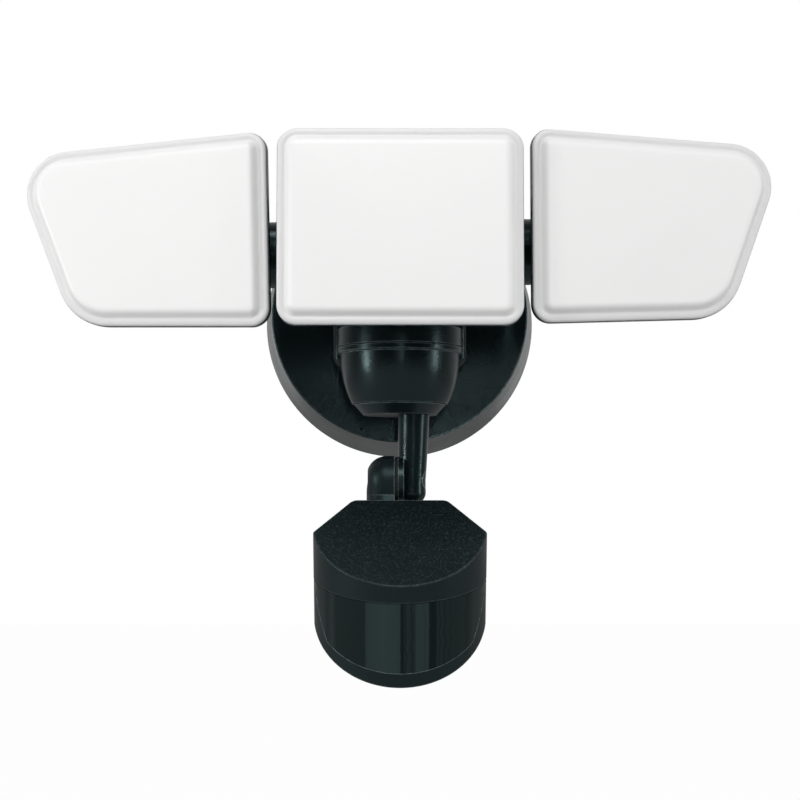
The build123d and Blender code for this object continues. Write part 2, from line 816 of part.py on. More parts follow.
def sensor_block(radius, inset, low_cut, high_cut):
    """The sensor's round-fronted plan, with chamfered rear corners, between two cuts."""
    cheek_x = math.sqrt(radius**2 - sensor_cheek**2)
    with BuildSketch(sensor_plane) as plan:
        with BuildLine():
            ThreePointArc((-cheek_x, -sensor_cheek), (0, -radius), (cheek_x, -sensor_cheek))
            Polyline(
                (cheek_x, -sensor_cheek),
                (sensor_back_half_width, sensor_back),
                (-sensor_back_half_width, sensor_back),
                (-cheek_x, -sensor_cheek),
            )
        make_face()
        fillet(plan.vertices().group_by(Axis.Y)[-1], sensor_back_corner)
        if inset > 0:
            offset(amount=-inset)
    with BuildPart() as block:
        extrude(plan.sketch, amount=3 * radius, both=True)
        split(bisect_by=high_cut, keep=Keep.BOTTOM)
        split(bisect_by=low_cut, keep=Keep.TOP)
    return block.part


lug_plane = Plane(
    origin=local(sensor_plane, lug_right, 0, 0), x_dir=-sensor_plane.y_dir,
    z_dir=-sensor_plane.x_dir,
)
with BuildPart() as sensor_lug:
    with BuildSketch(lug_plane):
        with Locations((-sensor_hinge_back, sensor_hinge_up)):
            Circle(hinge_disc_radius)
        with BuildLine():
            Polyline(
                (-sensor_hinge_back - hinge_disc_radius, sensor_hinge_up),
                (-sensor_hinge_back - hinge_disc_radius, -3),
                (-30, -14),
                (-sensor_back + 1, lens_top_height + 1),
                (-sensor_back + 1, 3),
                (-sensor_hinge_back + hinge_disc_radius, 7.5),
                (-sensor_hinge_back + hinge_disc_radius, sensor_hinge_up),
                close=True,
            )
        make_face()
    extrude(amount=lug_thickness)
    fillet(sensor_lug.edges().group_by(Axis.X)[0], lug_round)
    with BuildSketch(lug_plane):
        with Locations((-sensor_hinge_back, sensor_hinge_up)):
            Circle(hinge_bolt_radius + running_clearance)
    extrude(amount=lug_thickness, mode=Mode.SUBTRACT)
    with BuildSketch(lug_plane.offset(lug_thickness)):
        with Locations((-sensor_hinge_back, sensor_hinge_up)):
            Circle(4.6)
    extrude(amount=-nut_recess_depth, mode=Mode.SUBTRACT)

sensor_screw_points = [
    (side * sensor_screw_half_spacing, -sensor_screw_forward) for side in (-1, 1)
]
cap_outer = sensor_block(sensor_radius, 0, lens_top_cut, roof_cut)
cap_inner = sensor_block(
    sensor_radius, sensor_wall, lens_top_cut.offset(-5), roof_cut.offset(-sensor_wall)
)
with BuildPart() as sensor_cap:
    add(cap_outer)
    roof_face = sensor_cap.faces().sort_by(Axis(roof_cut.origin, roof_cut.z_dir))[-1]
    fillet(roof_face.edges(), roof_edge_round)
    add(cap_inner, mode=Mode.SUBTRACT)
    with BuildSketch(sensor_plane.offset(lens_top_height - 5)):
        with Locations(*sensor_screw_points):
            Circle(3.4)
    extrude(amount=5 - lens_top_height + roof_height - sensor_wall / 2)
    with BuildSketch(sensor_plane.offset(lens_top_height - 5)):
        with Locations(*sensor_screw_points):
            Circle(1.35)
    extrude(amount=-lens_top_height - 1, mode=Mode.SUBTRACT)
    split(bisect_by=lens_top_cut, keep=Keep.TOP)
    add(sensor_lug.part)
keep(sensor_cap, "sensor_cap")

base_outer = sensor_block(sensor_base_radius, 0, bottom_cut, lens_top_cut)
base_inner = sensor_block(
    sensor_base_radius, sensor_wall, bottom_cut.offset(sensor_wall), lens_top_cut.offset(5)
)
with BuildPart() as lens_window:
    add(sensor_block(sensor_base_radius + 5, 0, lens_bottom_cut, lens_top_cut.offset(5)))
    split(bisect_by=lens_back_cut, keep=Keep.TOP)

screw_seat_height = -30.5
dial_face = Plane(
    origin=local(
        sensor_plane, 0, -dial_forward, base_bottom_height + base_bottom_slope * dial_forward
    ),
    x_dir=(1, 0, 0),
    z_dir=-bottom_cut.z_dir,
)
dial_points = [(-dial_pitch / 2, 0), (dial_pitch / 2, 0)]
dial_pocket_depth = 1.6
dial_boss_depth = 5.0
with BuildPart() as sensor_base:
    add(base_outer)
    add(base_inner, mode=Mode.SUBTRACT)
    add(lens_window.part, mode=Mode.SUBTRACT)
    with BuildSketch(sensor_plane.offset(-sensor_cut_reach)):
        with Locations(*sensor_screw_points):
            Circle(4.4)
    extrude(amount=sensor_cut_reach + lens_top_height - 0.5)
    split(bisect_by=bottom_cut, keep=Keep.TOP)
    with BuildSketch(sensor_plane.offset(-sensor_cut_reach)):
        with Locations(*sensor_screw_points):
            Circle(3.2)
    extrude(amount=sensor_cut_reach + screw_seat_height, mode=Mode.SUBTRACT)
    with BuildSketch(sensor_plane.offset(-sensor_cut_reach)):
        with Locations(*sensor_screw_points):
            Circle(1.6)
    extrude(amount=sensor_cut_reach, mode=Mode.SUBTRACT)
    with BuildSketch(dial_face.offset(-sensor_wall / 2)):
        with Locations(*dial_points):
            Circle(dial_radius + 1.4)
    extrude(amount=-(dial_boss_depth - sensor_wall / 2))
    with BuildSketch(dial_face.offset(1)):
        with Locations(*dial_points):
            Circle(dial_radius + 0.4)
    extrude(amount=-1 - dial_pocket_depth, mode=Mode.SUBTRACT)
    with BuildSketch(dial_face):
        with Locations(*dial_points):
            Circle(dial_shaft_radius + running_clearance)
    extrude(amount=-dial_boss_depth - 1, mode=Mode.SUBTRACT)
keep(sensor_base, "sensor_base")

lens_block = sensor_block(sensor_lens_radius, 0, lens_bottom_cut, lens_top_cut)
lens_hollow = sensor_block(
    sensor_lens_radius, sensor_lens_wall, lens_bottom_cut.offset(-5), lens_top_cut.offset(5)
)
with BuildPart() as sensor_lens:
    add(lens_block)
    add(lens_hollow, mode=Mode.SUBTRACT)
    split(bisect_by=lens_back_cut, keep=Keep.TOP)
keep(sensor_lens, "sensor_lens")

sensor_screws = make_screws(
    Plane(
        origin=local(sensor_plane, 0, 0, screw_seat_height), x_dir=(1, 0, 0),
        z_dir=-sensor_plane.z_dir,
    ),
    [(x, -y) for x, y in sensor_screw_points], 2.8, 1.8, 1.3, -screw_seat_height - 8.0,
)
keep(sensor_screws, "sensor_screws")

sensor_board_front = 1.0
sensor_board_width = 38.0
sensor_board_low = -30.2
sensor_board_high = -5.0
board_face = Plane(
    origin=local(sensor_plane, 0, sensor_board_front, 0), x_dir=(1, 0, 0),
    z_dir=-sensor_plane.y_dir,
)
with BuildPart() as sensor_board:
    with BuildSketch(board_face):
        with Locations((0, (sensor_board_low + sensor_board_high) / 2)):
            Rectangle(sensor_board_width, sensor_board_high - sensor_board_low)
    extrude(amount=-board_thickness)
keep(sensor_board, "sensor_board")

holder_level = -24.8
holder_half_height = 5.4
can_radius = 4.4
can_height = 4.0
holder_front = 9.0
holder_face = 5.2
holder_side_angle = 50.0
holder_root = holder_face + 2 * holder_face * math.cos(math.radians(holder_side_angle))
holder_root_forward = holder_front - 2 * holder_face * math.sin(math.radians(holder_side_angle))
with BuildPart() as detector_holder:
    with BuildSketch(sensor_plane.offset(holder_level - holder_half_height)):
        with BuildLine():
            Polyline(
                (-holder_root, sensor_board_front), (holder_root, sensor_board_front),
                (holder_root, sensor_board_front - holder_root_forward),
                (holder_face, sensor_board_front - holder_front),
                (-holder_face, sensor_board_front - holder_front),
                (-holder_root, sensor_board_front - holder_root_forward),
                close=True,
            )
        make_face()
    extrude(amount=2 * holder_half_height)
keep(detector_holder, "detector_holder")

side_face_x = (holder_face + holder_root) / 2
side_face_y = sensor_board_front - (holder_front + holder_root_forward) / 2
with BuildPart() as motion_detectors:
    for turn, x, y in (
        (0, 0, sensor_board_front - holder_front),
        (1, side_face_x, side_face_y),
        (-1, -side_face_x, side_face_y),
    ):
        angle = math.radians(turn * holder_side_angle)
        outward = sensor_plane.x_dir * math.sin(angle) - sensor_plane.y_dir * math.cos(angle)
        with BuildSketch(
            Plane(
                origin=local(sensor_plane, x, y, holder_level), x_dir=sensor_plane.z_dir,
                z_dir=outward,
            )
        ):
            Circle(can_radius)
        extrude(amount=can_height)
keep(motion_detectors, "motion_detectors")

with BuildPart() as photocell:
    with BuildSketch(board_face):
        with Locations((14, -11)):
            Circle(2.5)
    extrude(amount=3.0)
keep(photocell, "photocell")

with BuildPart() as dial_board:
    with BuildSketch(dial_face.offset(-dial_boss_depth)):
        Rectangle(dial_pitch + 12, 11)
        with Locations(*dial_points):
            Circle(dial_shaft_radius + 0.3, mode=Mode.SUBTRACT)
    extrude(amount=-board_thickness)
    with BuildSketch(dial_face.offset(-dial_boss_depth - board_thickness)):
        with Locations(*dial_points):
            Rectangle(9, 9)
            Circle(dial_shaft_radius + running_clearance, mode=Mode.SUBTRACT)
    extrude(amount=-3.5)
keep(dial_board, "dial_board")

for name, point in zip(("range_dial", "time_dial"), dial_points):
    with BuildPart() as dial:
        with BuildSketch(dial_face.offset(-dial_pocket_depth + 0.2)):
            with Locations(point):
                Circle(dial_radius)
        extrude(amount=2.8)
        fillet(dial.edges().group_by(Axis(dial_face.origin, dial_face.z_dir))[-1], 0.5)
        with BuildSketch(dial_face.offset(1.4)):
            with Locations(point):
                SlotOverall(2 * dial_radius - 2.4, 1.4, rotation=90)
        extrude(amount=-1.2, mode=Mode.SUBTRACT)
        with BuildSketch(dial_face.offset(-dial_pocket_depth + 0.2)):
            with Locations(point):
                Circle(dial_shaft_radius)
        extrude(amount=-(dial_boss_depth + board_thickness + 3.0 - dial_pocket_depth))
    keep(dial, name)


# ---- Lamp heads ----------------------------------------------------------------------
def centre_outline(depth, inset):
    with BuildSketch(centre_plane.offset(-depth)) as outline:
        RectangleRounded(
            centre_width - 2 * inset, centre_height - 2 * inset,
            max(centre_corner - inset, smallest_corner),
        )
    return outline.sketch


def side_outline(side, depth, inset):
    """A tapering head: the inner edge upright, the outer edge leaning in towards the bottom."""
    half = side_inner_height / 2
    slope = math.tan(math.radians(side_taper))
    lean = math.tan(math.radians(side_outer_lean))
    top_x = (side_reach + half * lean) / (1 + slope * lean)
    bottom_x = (side_reach - half * lean) / (1 - slope * lean)
    corners = [
        (0, -half, side_inner_corner),
        (side * bottom_x, -half + slope * bottom_x, side_bottom_corner),
        (side * top_x, half - slope * top_x, side_top_corner),
        (0, half, side_inner_corner),
    ]
    with BuildSketch(side_head_plane(side).offset(-depth)) as outline:
        with BuildLine():
            Polyline(*[(x, y) for x, y, radius in corners], close=True)
        make_face()
        if inset > 0:
            offset(amount=-inset)
        for x, y, radius in corners:
            corner = outline.vertices().sort_by_distance((x, y, 0))[0]
            fillet(corner, max(radius - inset, smallest_corner))
    return outline.sketch


def make_head(name, plane, outline, screw_points, led_grid, pad, ears):
    """The pieces of one lamp head: lens, seal, finned housing, board, chips and screws."""
    seal_back = lens_skirt_depth + seal_thickness
    rim_back = seal_back + rim_height
    lip_front = seal_back - rim_lip_height
    flange_back = lip_front - lens_lip_gap

    skirt = outline(lens_skirt_depth, lens_inset)
    flange = outline(flange_back, lens_flange_inset)
    plateau_foot = outline(lens_bead_depth, plateau_foot_inset)
    plateau_top = outline(0, plateau_inset)
    skirt_hollow = outline(lens_skirt_depth, lens_inset + lens_wall)
    plateau_hollow = outline(lens_bead_depth + 1.0, plateau_inset + 1.0)
    with BuildPart() as lens:
        extrude(flange, amount=flange_back - lens_bead_depth)
        fillet(lens.edges().group_by(Axis(plane.origin, plane.z_dir))[-1], lens_bead_round)
        extrude(skirt, amount=lens_skirt_depth - flange_back)
        loft([plateau_foot.face(), plateau_top.face()])
        extrude(
            skirt_hollow, amount=lens_skirt_depth - lens_bead_depth - lens_wall, mode=Mode.SUBTRACT
        )
        extrude(
            plateau_hollow, amount=lens_bead_depth + 1.0 - lens_wall, mode=Mode.SUBTRACT
        )
        extrude(plateau_hollow, amount=-(lens_wall - 0.5), mode=Mode.SUBTRACT)
        with BuildSketch(plane.offset(-lens_post_foot)):
            with Locations(*screw_points):
                Circle(lens_post_radius)
        extrude(amount=lens_post_foot - lens_wall + 0.1)
        with BuildSketch(plane.offset(-lens_post_foot)):
            with Locations(*screw_points):
                Circle(lens_screw_radius + 0.03)
        extrude(amount=lens_post_foot - lens_bead_depth - lens_wall - 0.4, mode=Mode.SUBTRACT)
    keep(lens, f"{name}_lens")

    seal_outer = outline(seal_back, lens_inset + 0.4)
    seal_inner = outline(seal_back, lens_inset + lens_wall - 0.2)
    with BuildPart() as seal:
        extrude(seal_outer, amount=seal_thickness)
        extrude(seal_inner, amount=seal_thickness, mode=Mode.SUBTRACT)
    keep(seal, f"{name}_seal")

    rim_face = outline(rim_back, 0)
    lip_inner = outline(seal_back, rim_lip_wall)
    taper_front = outline(rim_back, 0)
    taper_waist = outline(housing_waist_depth, housing_waist_inset)
    taper_back = outline(head_depth, housing_back_inset)
    cavity = outline(housing_floor_depth, housing_land)
    pad_x, pad_y, pad_width, pad_height = pad
    with BuildPart() as housing:
        extrude(rim_face, amount=rim_height + rim_lip_height)
        extrude(lip_inner, amount=rim_lip_height, mode=Mode.SUBTRACT)
        loft([taper_front.face(), taper_waist.face()])
        loft([taper_waist.face(), taper_back.face()])
        extrude(cavity, amount=housing_floor_depth, mode=Mode.SUBTRACT)
        with BuildSketch(plane.offset(-head_depth - 0.1)):
            with Locations((pad_x, 0)):
                with GridLocations(fin_pitch, 0, 17, 1):
                    Rectangle(fin_pitch - fin_thickness, 2 * centre_height)
            with Locations((pad_x, pad_y)):
                Rectangle(pad_width, pad_height, mode=Mode.SUBTRACT)
        extrude(amount=fin_height + 0.1, mode=Mode.SUBTRACT)
        with BuildSketch(plane.offset(-housing_floor_depth - 1)):
            with Locations(*screw_points):
                Circle(4.0)
        extrude(amount=housing_floor_depth + 1 - lens_post_foot)
        with BuildSketch(plane.offset(-lens_screw_seat)):
            with Locations(*screw_points):
                Circle(3.0)
        extrude(amount=-head_depth, mode=Mode.SUBTRACT)
        with BuildSketch(plane.offset(-head_depth)):
            with Locations(*screw_points):
                Circle(lens_screw_radius + 0.2)
        extrude(amount=head_depth, mode=Mode.SUBTRACT)
        add(ears)
    keep(housing, f"{name}_housing")

    board_edge = outline(housing_floor_depth, housing_land + 0.6)
    with BuildPart() as led_board:
        extrude(board_edge, amount=board_thickness)
        with BuildSketch(plane.offset(-housing_floor_depth)):
            with Locations(*screw_points):
                Circle(4.4)
        extrude(amount=board_thickness, mode=Mode.SUBTRACT)
    keep(led_board, f"{name}_led_board")

    led_middle, columns = led_grid
    with BuildPart() as leds:
        with BuildSketch(plane.offset(-housing_floor_depth + board_thickness)):
            with Locations((led_middle, 0)):
                with GridLocations(led_pitch, led_pitch, columns, led_rows):
                    Rectangle(led_size, led_size)
        extrude(amount=led_height)
    keep(leds, f"{name}_leds")

    screws = make_screws(
        turned_back(plane, lens_screw_seat), [(-x, y) for x, y in screw_points], 2.7, 1.8,
        lens_screw_radius, lens_screw_seat - lens_bead_depth - lens_wall - 1.2,
    )
    keep(screws, f"{name}_lens_screws")


# the centre head's ears, on both sides of the hub's tongue
centre_ear_depth = centre_front - centre_pin_depth
centre_ear_drop = centre_pin_height - centre_middle
with BuildPart() as centre_ears:
    for side in (1, -1):
        near = side * (centre_tongue_half_width + ear_side_gap)
        with BuildSketch(across_in(centre_plane, near)):
            with Locations((centre_ear_drop, -centre_ear_depth)):
                Circle(centre_ear_radius)
            with Locations((centre_ear_drop, -(centre_ear_depth + head_depth - 4) / 2)):
                Rectangle(2 * centre_ear_radius, centre_ear_depth - head_depth + 4)
            with Locations((centre_ear_drop, -centre_ear_depth)):
                Circle(pin_radius + 0.02, mode=Mode.SUBTRACT)
        extrude(amount=side * centre_ear_thickness)
centre_screw_points = [
    (x * (centre_width / 2 - lens_post_inset), y * (centre_height / 2 - lens_post_inset))
    for x in (-1, 1) for y in (-1, 1)
]
make_head(
    "centre", centre_plane, centre_outline, centre_screw_points,
    (0, centre_led_columns),
    (0, centre_ear_drop, 30, 18), centre_ears.part,
)

centre_pin_half = centre_tongue_half_width + ear_side_gap + centre_ear_thickness
with BuildPart() as centre_hinge_pin:
    with BuildSketch(along_x(-centre_pin_half - 2.4, centre_pin_depth, centre_pin_height)):
        Circle(pin_radius)
    extrude(amount=2 * centre_pin_half + 2.4)
    with BuildSketch(along_x(centre_pin_half, centre_pin_depth, centre_pin_height)):
        Circle(pin_head_radius)
    extrude(amount=pin_head_height)
    fillet(centre_hinge_pin.edges().group_by(Axis.X)[-1], 0.8)
keep(centre_hinge_pin, "centre_hinge_pin")

centre_hinge_nut = make_hex_nut(
    along_x(-centre_pin_half - 2.4, centre_pin_depth, centre_pin_height), 8.0, 2.4,
    pin_radius + 0.03,
)
keep(centre_hinge_nut, "centre_hinge_nut")

# the two side heads, their arms and swing pins
for name, side in (("left", -1), ("right", 1)):
    wing = wing_plane(side)
    head = side_head_plane(side)
    with BuildPart() as arm:
        add(cross_tube(side, cross_tube_radius, arm_collar_start, arm_collar_end))
        fillet(arm.edges().filter_by(GeomType.CIRCLE), 1.0)
        add(cross_tube(side, arm_bore_radius - running_clearance, arm_spigot_end, arm_collar_end))
        with BuildSketch(wing.offset(-side_ear_radius + 0.6)):
            with Locations((side * (arm_collar_end + side_pin_reach) / 2 - side * 2, 0)):
                Rectangle(side_pin_reach - arm_collar_end + 4, 2 * side_tongue_half_height)
        extrude(amount=2 * side_ear_radius - 1.2)
        with BuildSketch(level_in(wing, -side_tongue_half_height)):
            with Locations((side * side_pin_reach, 0)):
                Circle(side_ear_radius)
        extrude(amount=2 * side_tongue_half_height)
        with BuildSketch(level_in(wing, -side_tongue_half_height)):
            with Locations((side * side_pin_reach, 0)):
                Circle(pin_radius + running_clearance)
        extrude(amount=2 * side_tongue_half_height, mode=Mode.SUBTRACT)
        add(cross_tube(side, arm_wire_radius, arm_spigot_end - 1, arm_collar_end - 4), mode=Mode.SUBTRACT)
        add(
            cross_tube(
                side, arm_bore_radius + 1, arm_groove_middle - arm_groove_half_width,
                arm_groove_middle + arm_groove_half_width,
            ),
            mode=Mode.SUBTRACT,
        )
        add(
            cross_tube(
                side, arm_groove_radius, arm_groove_middle - arm_groove_half_width - 1,
                arm_groove_middle + arm_groove_half_width + 1,
            )
        )
        add(cross_tube(side, arm_wire_radius, arm_spigot_end - 1, arm_collar_end - 4), mode=Mode.SUBTRACT)
    keep(arm, f"{name}_arm")

    ear_gap_half = side_tongue_half_height + ear_side_gap
    with BuildPart() as ears:
        for low in (
            -side_middle_above_arm + ear_gap_half,
            -side_middle_above_arm - ear_gap_half - side_ear_thickness,
        ):
            with BuildSketch(level_in(head, low)):
                with Locations((side * side_pin_from_edge, side_pin_behind_front)):
                    Circle(side_ear_radius)
                with Locations(
                    (side * side_pin_from_edge, (side_pin_behind_front + head_depth - 4) / 2)
                ):
                    Rectangle(2 * side_ear_radius, side_pin_behind_front - head_depth + 4)
                with Locations((side * side_pin_from_edge, side_pin_behind_front)):
                    Circle(pin_radius + 0.02, mode=Mode.SUBTRACT)
            extrude(amount=side_ear_thickness)

    half = side_inner_height / 2
    points = [
        (side * lens_post_inset, half - lens_post_inset),
        (side * lens_post_inset, -half + lens_post_inset),
        (side * (side_reach - 7.0), 21.0),
        (side * (side_reach - 20.0), -25.0),
    ]
    make_head(
        name, head, lambda depth, inset, side=side: side_outline(side, depth, inset), points,
        (side * side_led_middle, side_led_columns),
        (side * side_pin_from_edge, -side_middle_above_arm, 18, 30), ears.part,
    )

    pin_top = ear_gap_half + side_ear_thickness
    with BuildPart() as pin:
        with BuildSketch(level_in(wing, -pin_top - 2.4)):
            with Locations((side * side_pin_reach, 0)):
                Circle(pin_radius)
        extrude(amount=2 * pin_top + 2.4)
        with BuildSketch(level_in(wing, pin_top)):
            with Locations((side * side_pin_reach, 0)):
                Circle(pin_head_radius)
        extrude(amount=pin_head_height)
    keep(pin, f"{name}_swing_pin")

    with BuildPart() as nut:
        with BuildSketch(level_in(wing, -pin_top - 2.4)):
            with Locations((side * side_pin_reach, 0)):
                RegularPolygon(4.0, 6, major_radius=False)
                Circle(pin_radius + 0.03, mode=Mode.SUBTRACT)
        extrude(amount=2.4)
    keep(nut, f"{name}_swing_nut")
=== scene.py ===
import bpy
import bmesh
import math
from mathutils import Matrix, Vector


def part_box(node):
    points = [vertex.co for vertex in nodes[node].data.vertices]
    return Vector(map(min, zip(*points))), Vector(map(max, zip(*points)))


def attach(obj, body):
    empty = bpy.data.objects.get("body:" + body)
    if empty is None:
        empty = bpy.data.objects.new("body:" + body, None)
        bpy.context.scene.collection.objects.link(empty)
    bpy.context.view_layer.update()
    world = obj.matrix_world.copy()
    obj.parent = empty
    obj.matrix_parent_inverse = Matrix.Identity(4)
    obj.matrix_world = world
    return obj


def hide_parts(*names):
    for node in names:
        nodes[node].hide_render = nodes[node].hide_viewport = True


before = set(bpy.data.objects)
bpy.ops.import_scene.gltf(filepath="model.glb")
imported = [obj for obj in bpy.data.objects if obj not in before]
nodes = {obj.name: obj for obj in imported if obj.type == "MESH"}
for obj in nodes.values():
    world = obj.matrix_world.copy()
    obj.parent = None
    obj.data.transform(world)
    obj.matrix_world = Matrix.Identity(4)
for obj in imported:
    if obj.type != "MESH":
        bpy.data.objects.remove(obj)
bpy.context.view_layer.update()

# ---- Studio --------------------------------------------------------------------------
# A pale floor under the hanging light and a white surround, which reflections see dark
# on the camera's side. A large soft lamp stands above the camera and a smaller one
# overhead; narrow lamps at both sides and in front draw bright lines on the black parts.
scene = bpy.context.scene
scene.view_settings.view_transform = "Standard"

camera_data = bpy.data.cameras.new("camera")
camera_data.lens = 67.5
camera_data.sensor_width = 36.0
camera = bpy.data.objects.new("camera", camera_data)
camera.location = (-0.0019, -0.7162, -0.0862)
camera.rotation_euler = (math.radians(94.0), 0, math.radians(-0.176))
scene.collection.objects.link(camera)
scene.camera = camera

world = bpy.data.worlds.new("surround")
world.use_nodes = True
scene.world = world
world_tree = world.node_tree
world_tree.nodes.clear()
world_out = world_tree.nodes.new("ShaderNodeOutputWorld")
seen = world_tree.nodes.new("ShaderNodeBackground")
seen.inputs["Color"].default_value = (1, 1, 1, 1)
seen.inputs["Strength"].default_value = 1.0
ambient = world_tree.nodes.new("ShaderNodeBackground")
ambient.inputs["Color"].default_value = (1.0, 1.0, 1.0, 1)
ambient.inputs["Strength"].default_value = 0.40
mirrored = world_tree.nodes.new("ShaderNodeBackground")
mirrored.inputs["Color"].default_value = (1, 1, 1, 1)
# the room is darker on the camera's side than behind the light
way = world_tree.nodes.new("ShaderNodeTexCoord")
split = world_tree.nodes.new("ShaderNodeSeparateXYZ")
world_tree.links.new(way.outputs["Generated"], split.inputs[0])
room = world_tree.nodes.new("ShaderNodeMapRange")
room.interpolation_type = "SMOOTHSTEP"
room.inputs["From Min"].default_value = -0.35
room.inputs["From Max"].default_value = 0.95
room.inputs["To Min"].default_value = 0.0
room.inputs["To Max"].default_value = 0.55
world_tree.links.new(split.outputs["Y"], room.inputs["Value"])
world_tree.links.new(room.outputs["Result"], mirrored.inputs["Strength"])
path = world_tree.nodes.new("ShaderNodeLightPath")
shiny = world_tree.nodes.new("ShaderNodeMath")
shiny.operation = "MAXIMUM"
world_tree.links.new(path.outputs["Is Glossy Ray"], shiny.inputs[0])
world_tree.links.new(path.outputs["Is Transmission Ray"], shiny.inputs[1])
mix_shiny = world_tree.nodes.new("ShaderNodeMixShader")
mix_seen = world_tree.nodes.new("ShaderNodeMixShader")
world_tree.links.new(shiny.outputs[0], mix_shiny.inputs[0])
world_tree.links.new(ambient.outputs[0], mix_shiny.inputs[1])
world_tree.links.new(mirrored.outputs[0], mix_shiny.inputs[2])
world_tree.links.new(path.outputs["Is Camera Ray"], mix_seen.inputs[0])
world_tree.links.new(mix_shiny.outputs[0], mix_seen.inputs[1])
world_tree.links.new(seen.outputs[0], mix_seen.inputs[2])
world_tree.links.new(mix_seen.outputs[0], world_out.inputs["Surface"])

for name, place, size, power in (
    ("lamp_top", (-0.14, -1.65, 1.05), (0.9, 0.8), 13.2),
    ("lamp_roof", (-0.20, -0.75, 1.60), (0.5, 0.4), 5.0),
    ("lamp_left", (-1.02, -0.52, 0.01), (0.05, 0.5), 3.6),
    ("lamp_right", (1.06, -0.46, 0.02), (0.045, 0.45), 2.2),
    ("lamp_front", (0.06, -1.60, 0.02), (0.04, 0.30), 0.5),
):
    lamp_data = bpy.data.lights.new(name, "AREA")
    lamp_data.shape = "RECTANGLE"
    lamp_data.size, lamp_data.size_y = size
    lamp_data.energy = power
    lamp = bpy.data.objects.new(name, lamp_data)
    lamp.location = place
    aim = Vector((0, -0.06, -0.03)) - Vector(place)
    lamp.rotation_euler = aim.to_track_quat("-Z", "Y").to_euler()
    scene.collection.objects.link(lamp)

floor_mesh = bpy.data.meshes.new("floor")
floor_shape = bmesh.new()
floor_place = Matrix.Translation((0, 0, -0.34))
bmesh.ops.create_grid(floor_shape, x_segments=8, y_segments=8, size=2.5, matrix=floor_place)
floor_shape.to_mesh(floor_mesh)
floor_shape.free()
floor = bpy.data.objects.new("floor", floor_mesh)
scene.collection.objects.link(floor)
floor_paint = bpy.data.materials.new("floor_paint")
floor_paint.use_nodes = True
floor_tree = floor_paint.node_tree
floor_tree.nodes.clear()
floor_out = floor_tree.nodes.new("ShaderNodeOutputMaterial")
floor_matte = floor_tree.nodes.new("ShaderNodeBsdfDiffuse")
floor_matte.inputs["Color"].default_value = (0.48, 0.48, 0.48, 1)
floor_white = floor_tree.nodes.new("ShaderNodeEmission")
floor_path = floor_tree.nodes.new("ShaderNodeLightPath")
floor_mix = floor_tree.nodes.new("ShaderNodeMixShader")
floor_keep = floor_tree.nodes.new("ShaderNodeMath")
floor_keep.operation = "MULTIPLY"
floor_keep.inputs[1].default_value = 0.98
floor_tree.links.new(floor_path.outputs["Is Camera Ray"], floor_keep.inputs[0])
floor_tree.links.new(floor_keep.outputs[0], floor_mix.inputs[0])
floor_tree.links.new(floor_matte.outputs[0], floor_mix.inputs[1])
floor_tree.links.new(floor_white.outputs[0], floor_mix.inputs[2])
floor_tree.links.new(floor_mix.outputs[0], floor_out.inputs["Surface"])
floor_mesh.materials.append(floor_paint)

# ---- Canopy, hub, collar, cup, arms and lamp housings --------------------------------
# Die-cast and spun aluminium under one black powder coat: a cool near-black with a fine satin
# orange-peel texture that breaks the highlights into specks. The narrow rounded edges carry a
# painted highlight.


def make_grain_group():
    """Height and patch values for a sprayed or moulded surface, by grain size in mm."""
    group = bpy.data.node_groups.new("surface_grain", "ShaderNodeTree")
    for label, value in (("Grain Size", 0.5), ("Patch Size", 30.0), ("Sharpness", 0.5)):
        socket = group.interface.new_socket(label, in_out="INPUT", socket_type="NodeSocketFloat")
        socket.default_value = value
    group.interface.new_socket("Height", in_out="OUTPUT", socket_type="NodeSocketFloat")
    group.interface.new_socket("Patches", in_out="OUTPUT", socket_type="NodeSocketFloat")
    group.interface.new_socket("Specks", in_out="OUTPUT", socket_type="NodeSocketFloat")
    start = group.nodes.new("NodeGroupInput")
    end = group.nodes.new("NodeGroupOutput")
    place = group.nodes.new("ShaderNodeTexCoord")

    def scaled(label):
        node = group.nodes.new("ShaderNodeMath")
        node.operation = "DIVIDE"
        node.inputs[0].default_value = 1000.0
        group.links.new(start.outputs[label], node.inputs[1])
        return node.outputs[0]

    fine = group.nodes.new("ShaderNodeTexNoise")
    fine.inputs["Detail"].default_value = 2.0
    fine.inputs["Roughness"].default_value = 0.5
    group.links.new(place.outputs["Object"], fine.inputs["Vector"])
    group.links.new(scaled("Grain Size"), fine.inputs["Scale"])
    cells = group.nodes.new("ShaderNodeTexVoronoi")
    cells.feature = "SMOOTH_F1"
    cells.inputs["Smoothness"].default_value = 0.6
    group.links.new(place.outputs["Object"], cells.inputs["Vector"])
    group.links.new(scaled("Grain Size"), cells.inputs["Scale"])
    blend = group.nodes.new("ShaderNodeMix")
    group.links.new(start.outputs["Sharpness"], blend.inputs["Factor"])
    group.links.new(fine.outputs["Fac"], blend.inputs["A"])
    group.links.new(cells.outputs["Distance"], blend.inputs["B"])
    group.links.new(blend.outputs["Result"], end.inputs["Height"])
    patches = group.nodes.new("ShaderNodeTexNoise")
    patches.inputs["Detail"].default_value = 4.0
    group.links.new(place.outputs["Object"], patches.inputs["Vector"])
    group.links.new(scaled("Patch Size"), patches.inputs["Scale"])
    group.links.new(patches.outputs["Fac"], end.inputs["Patches"])
    specks = group.nodes.new("ShaderNodeMapRange")
    specks.inputs["From Min"].default_value = 0.52
    specks.inputs["From Max"].default_value = 0.72
    group.links.new(fine.outputs["Fac"], specks.inputs["Value"])
    group.links.new(specks.outputs["Result"], end.inputs["Specks"])
    return group


surface_grain = make_grain_group()


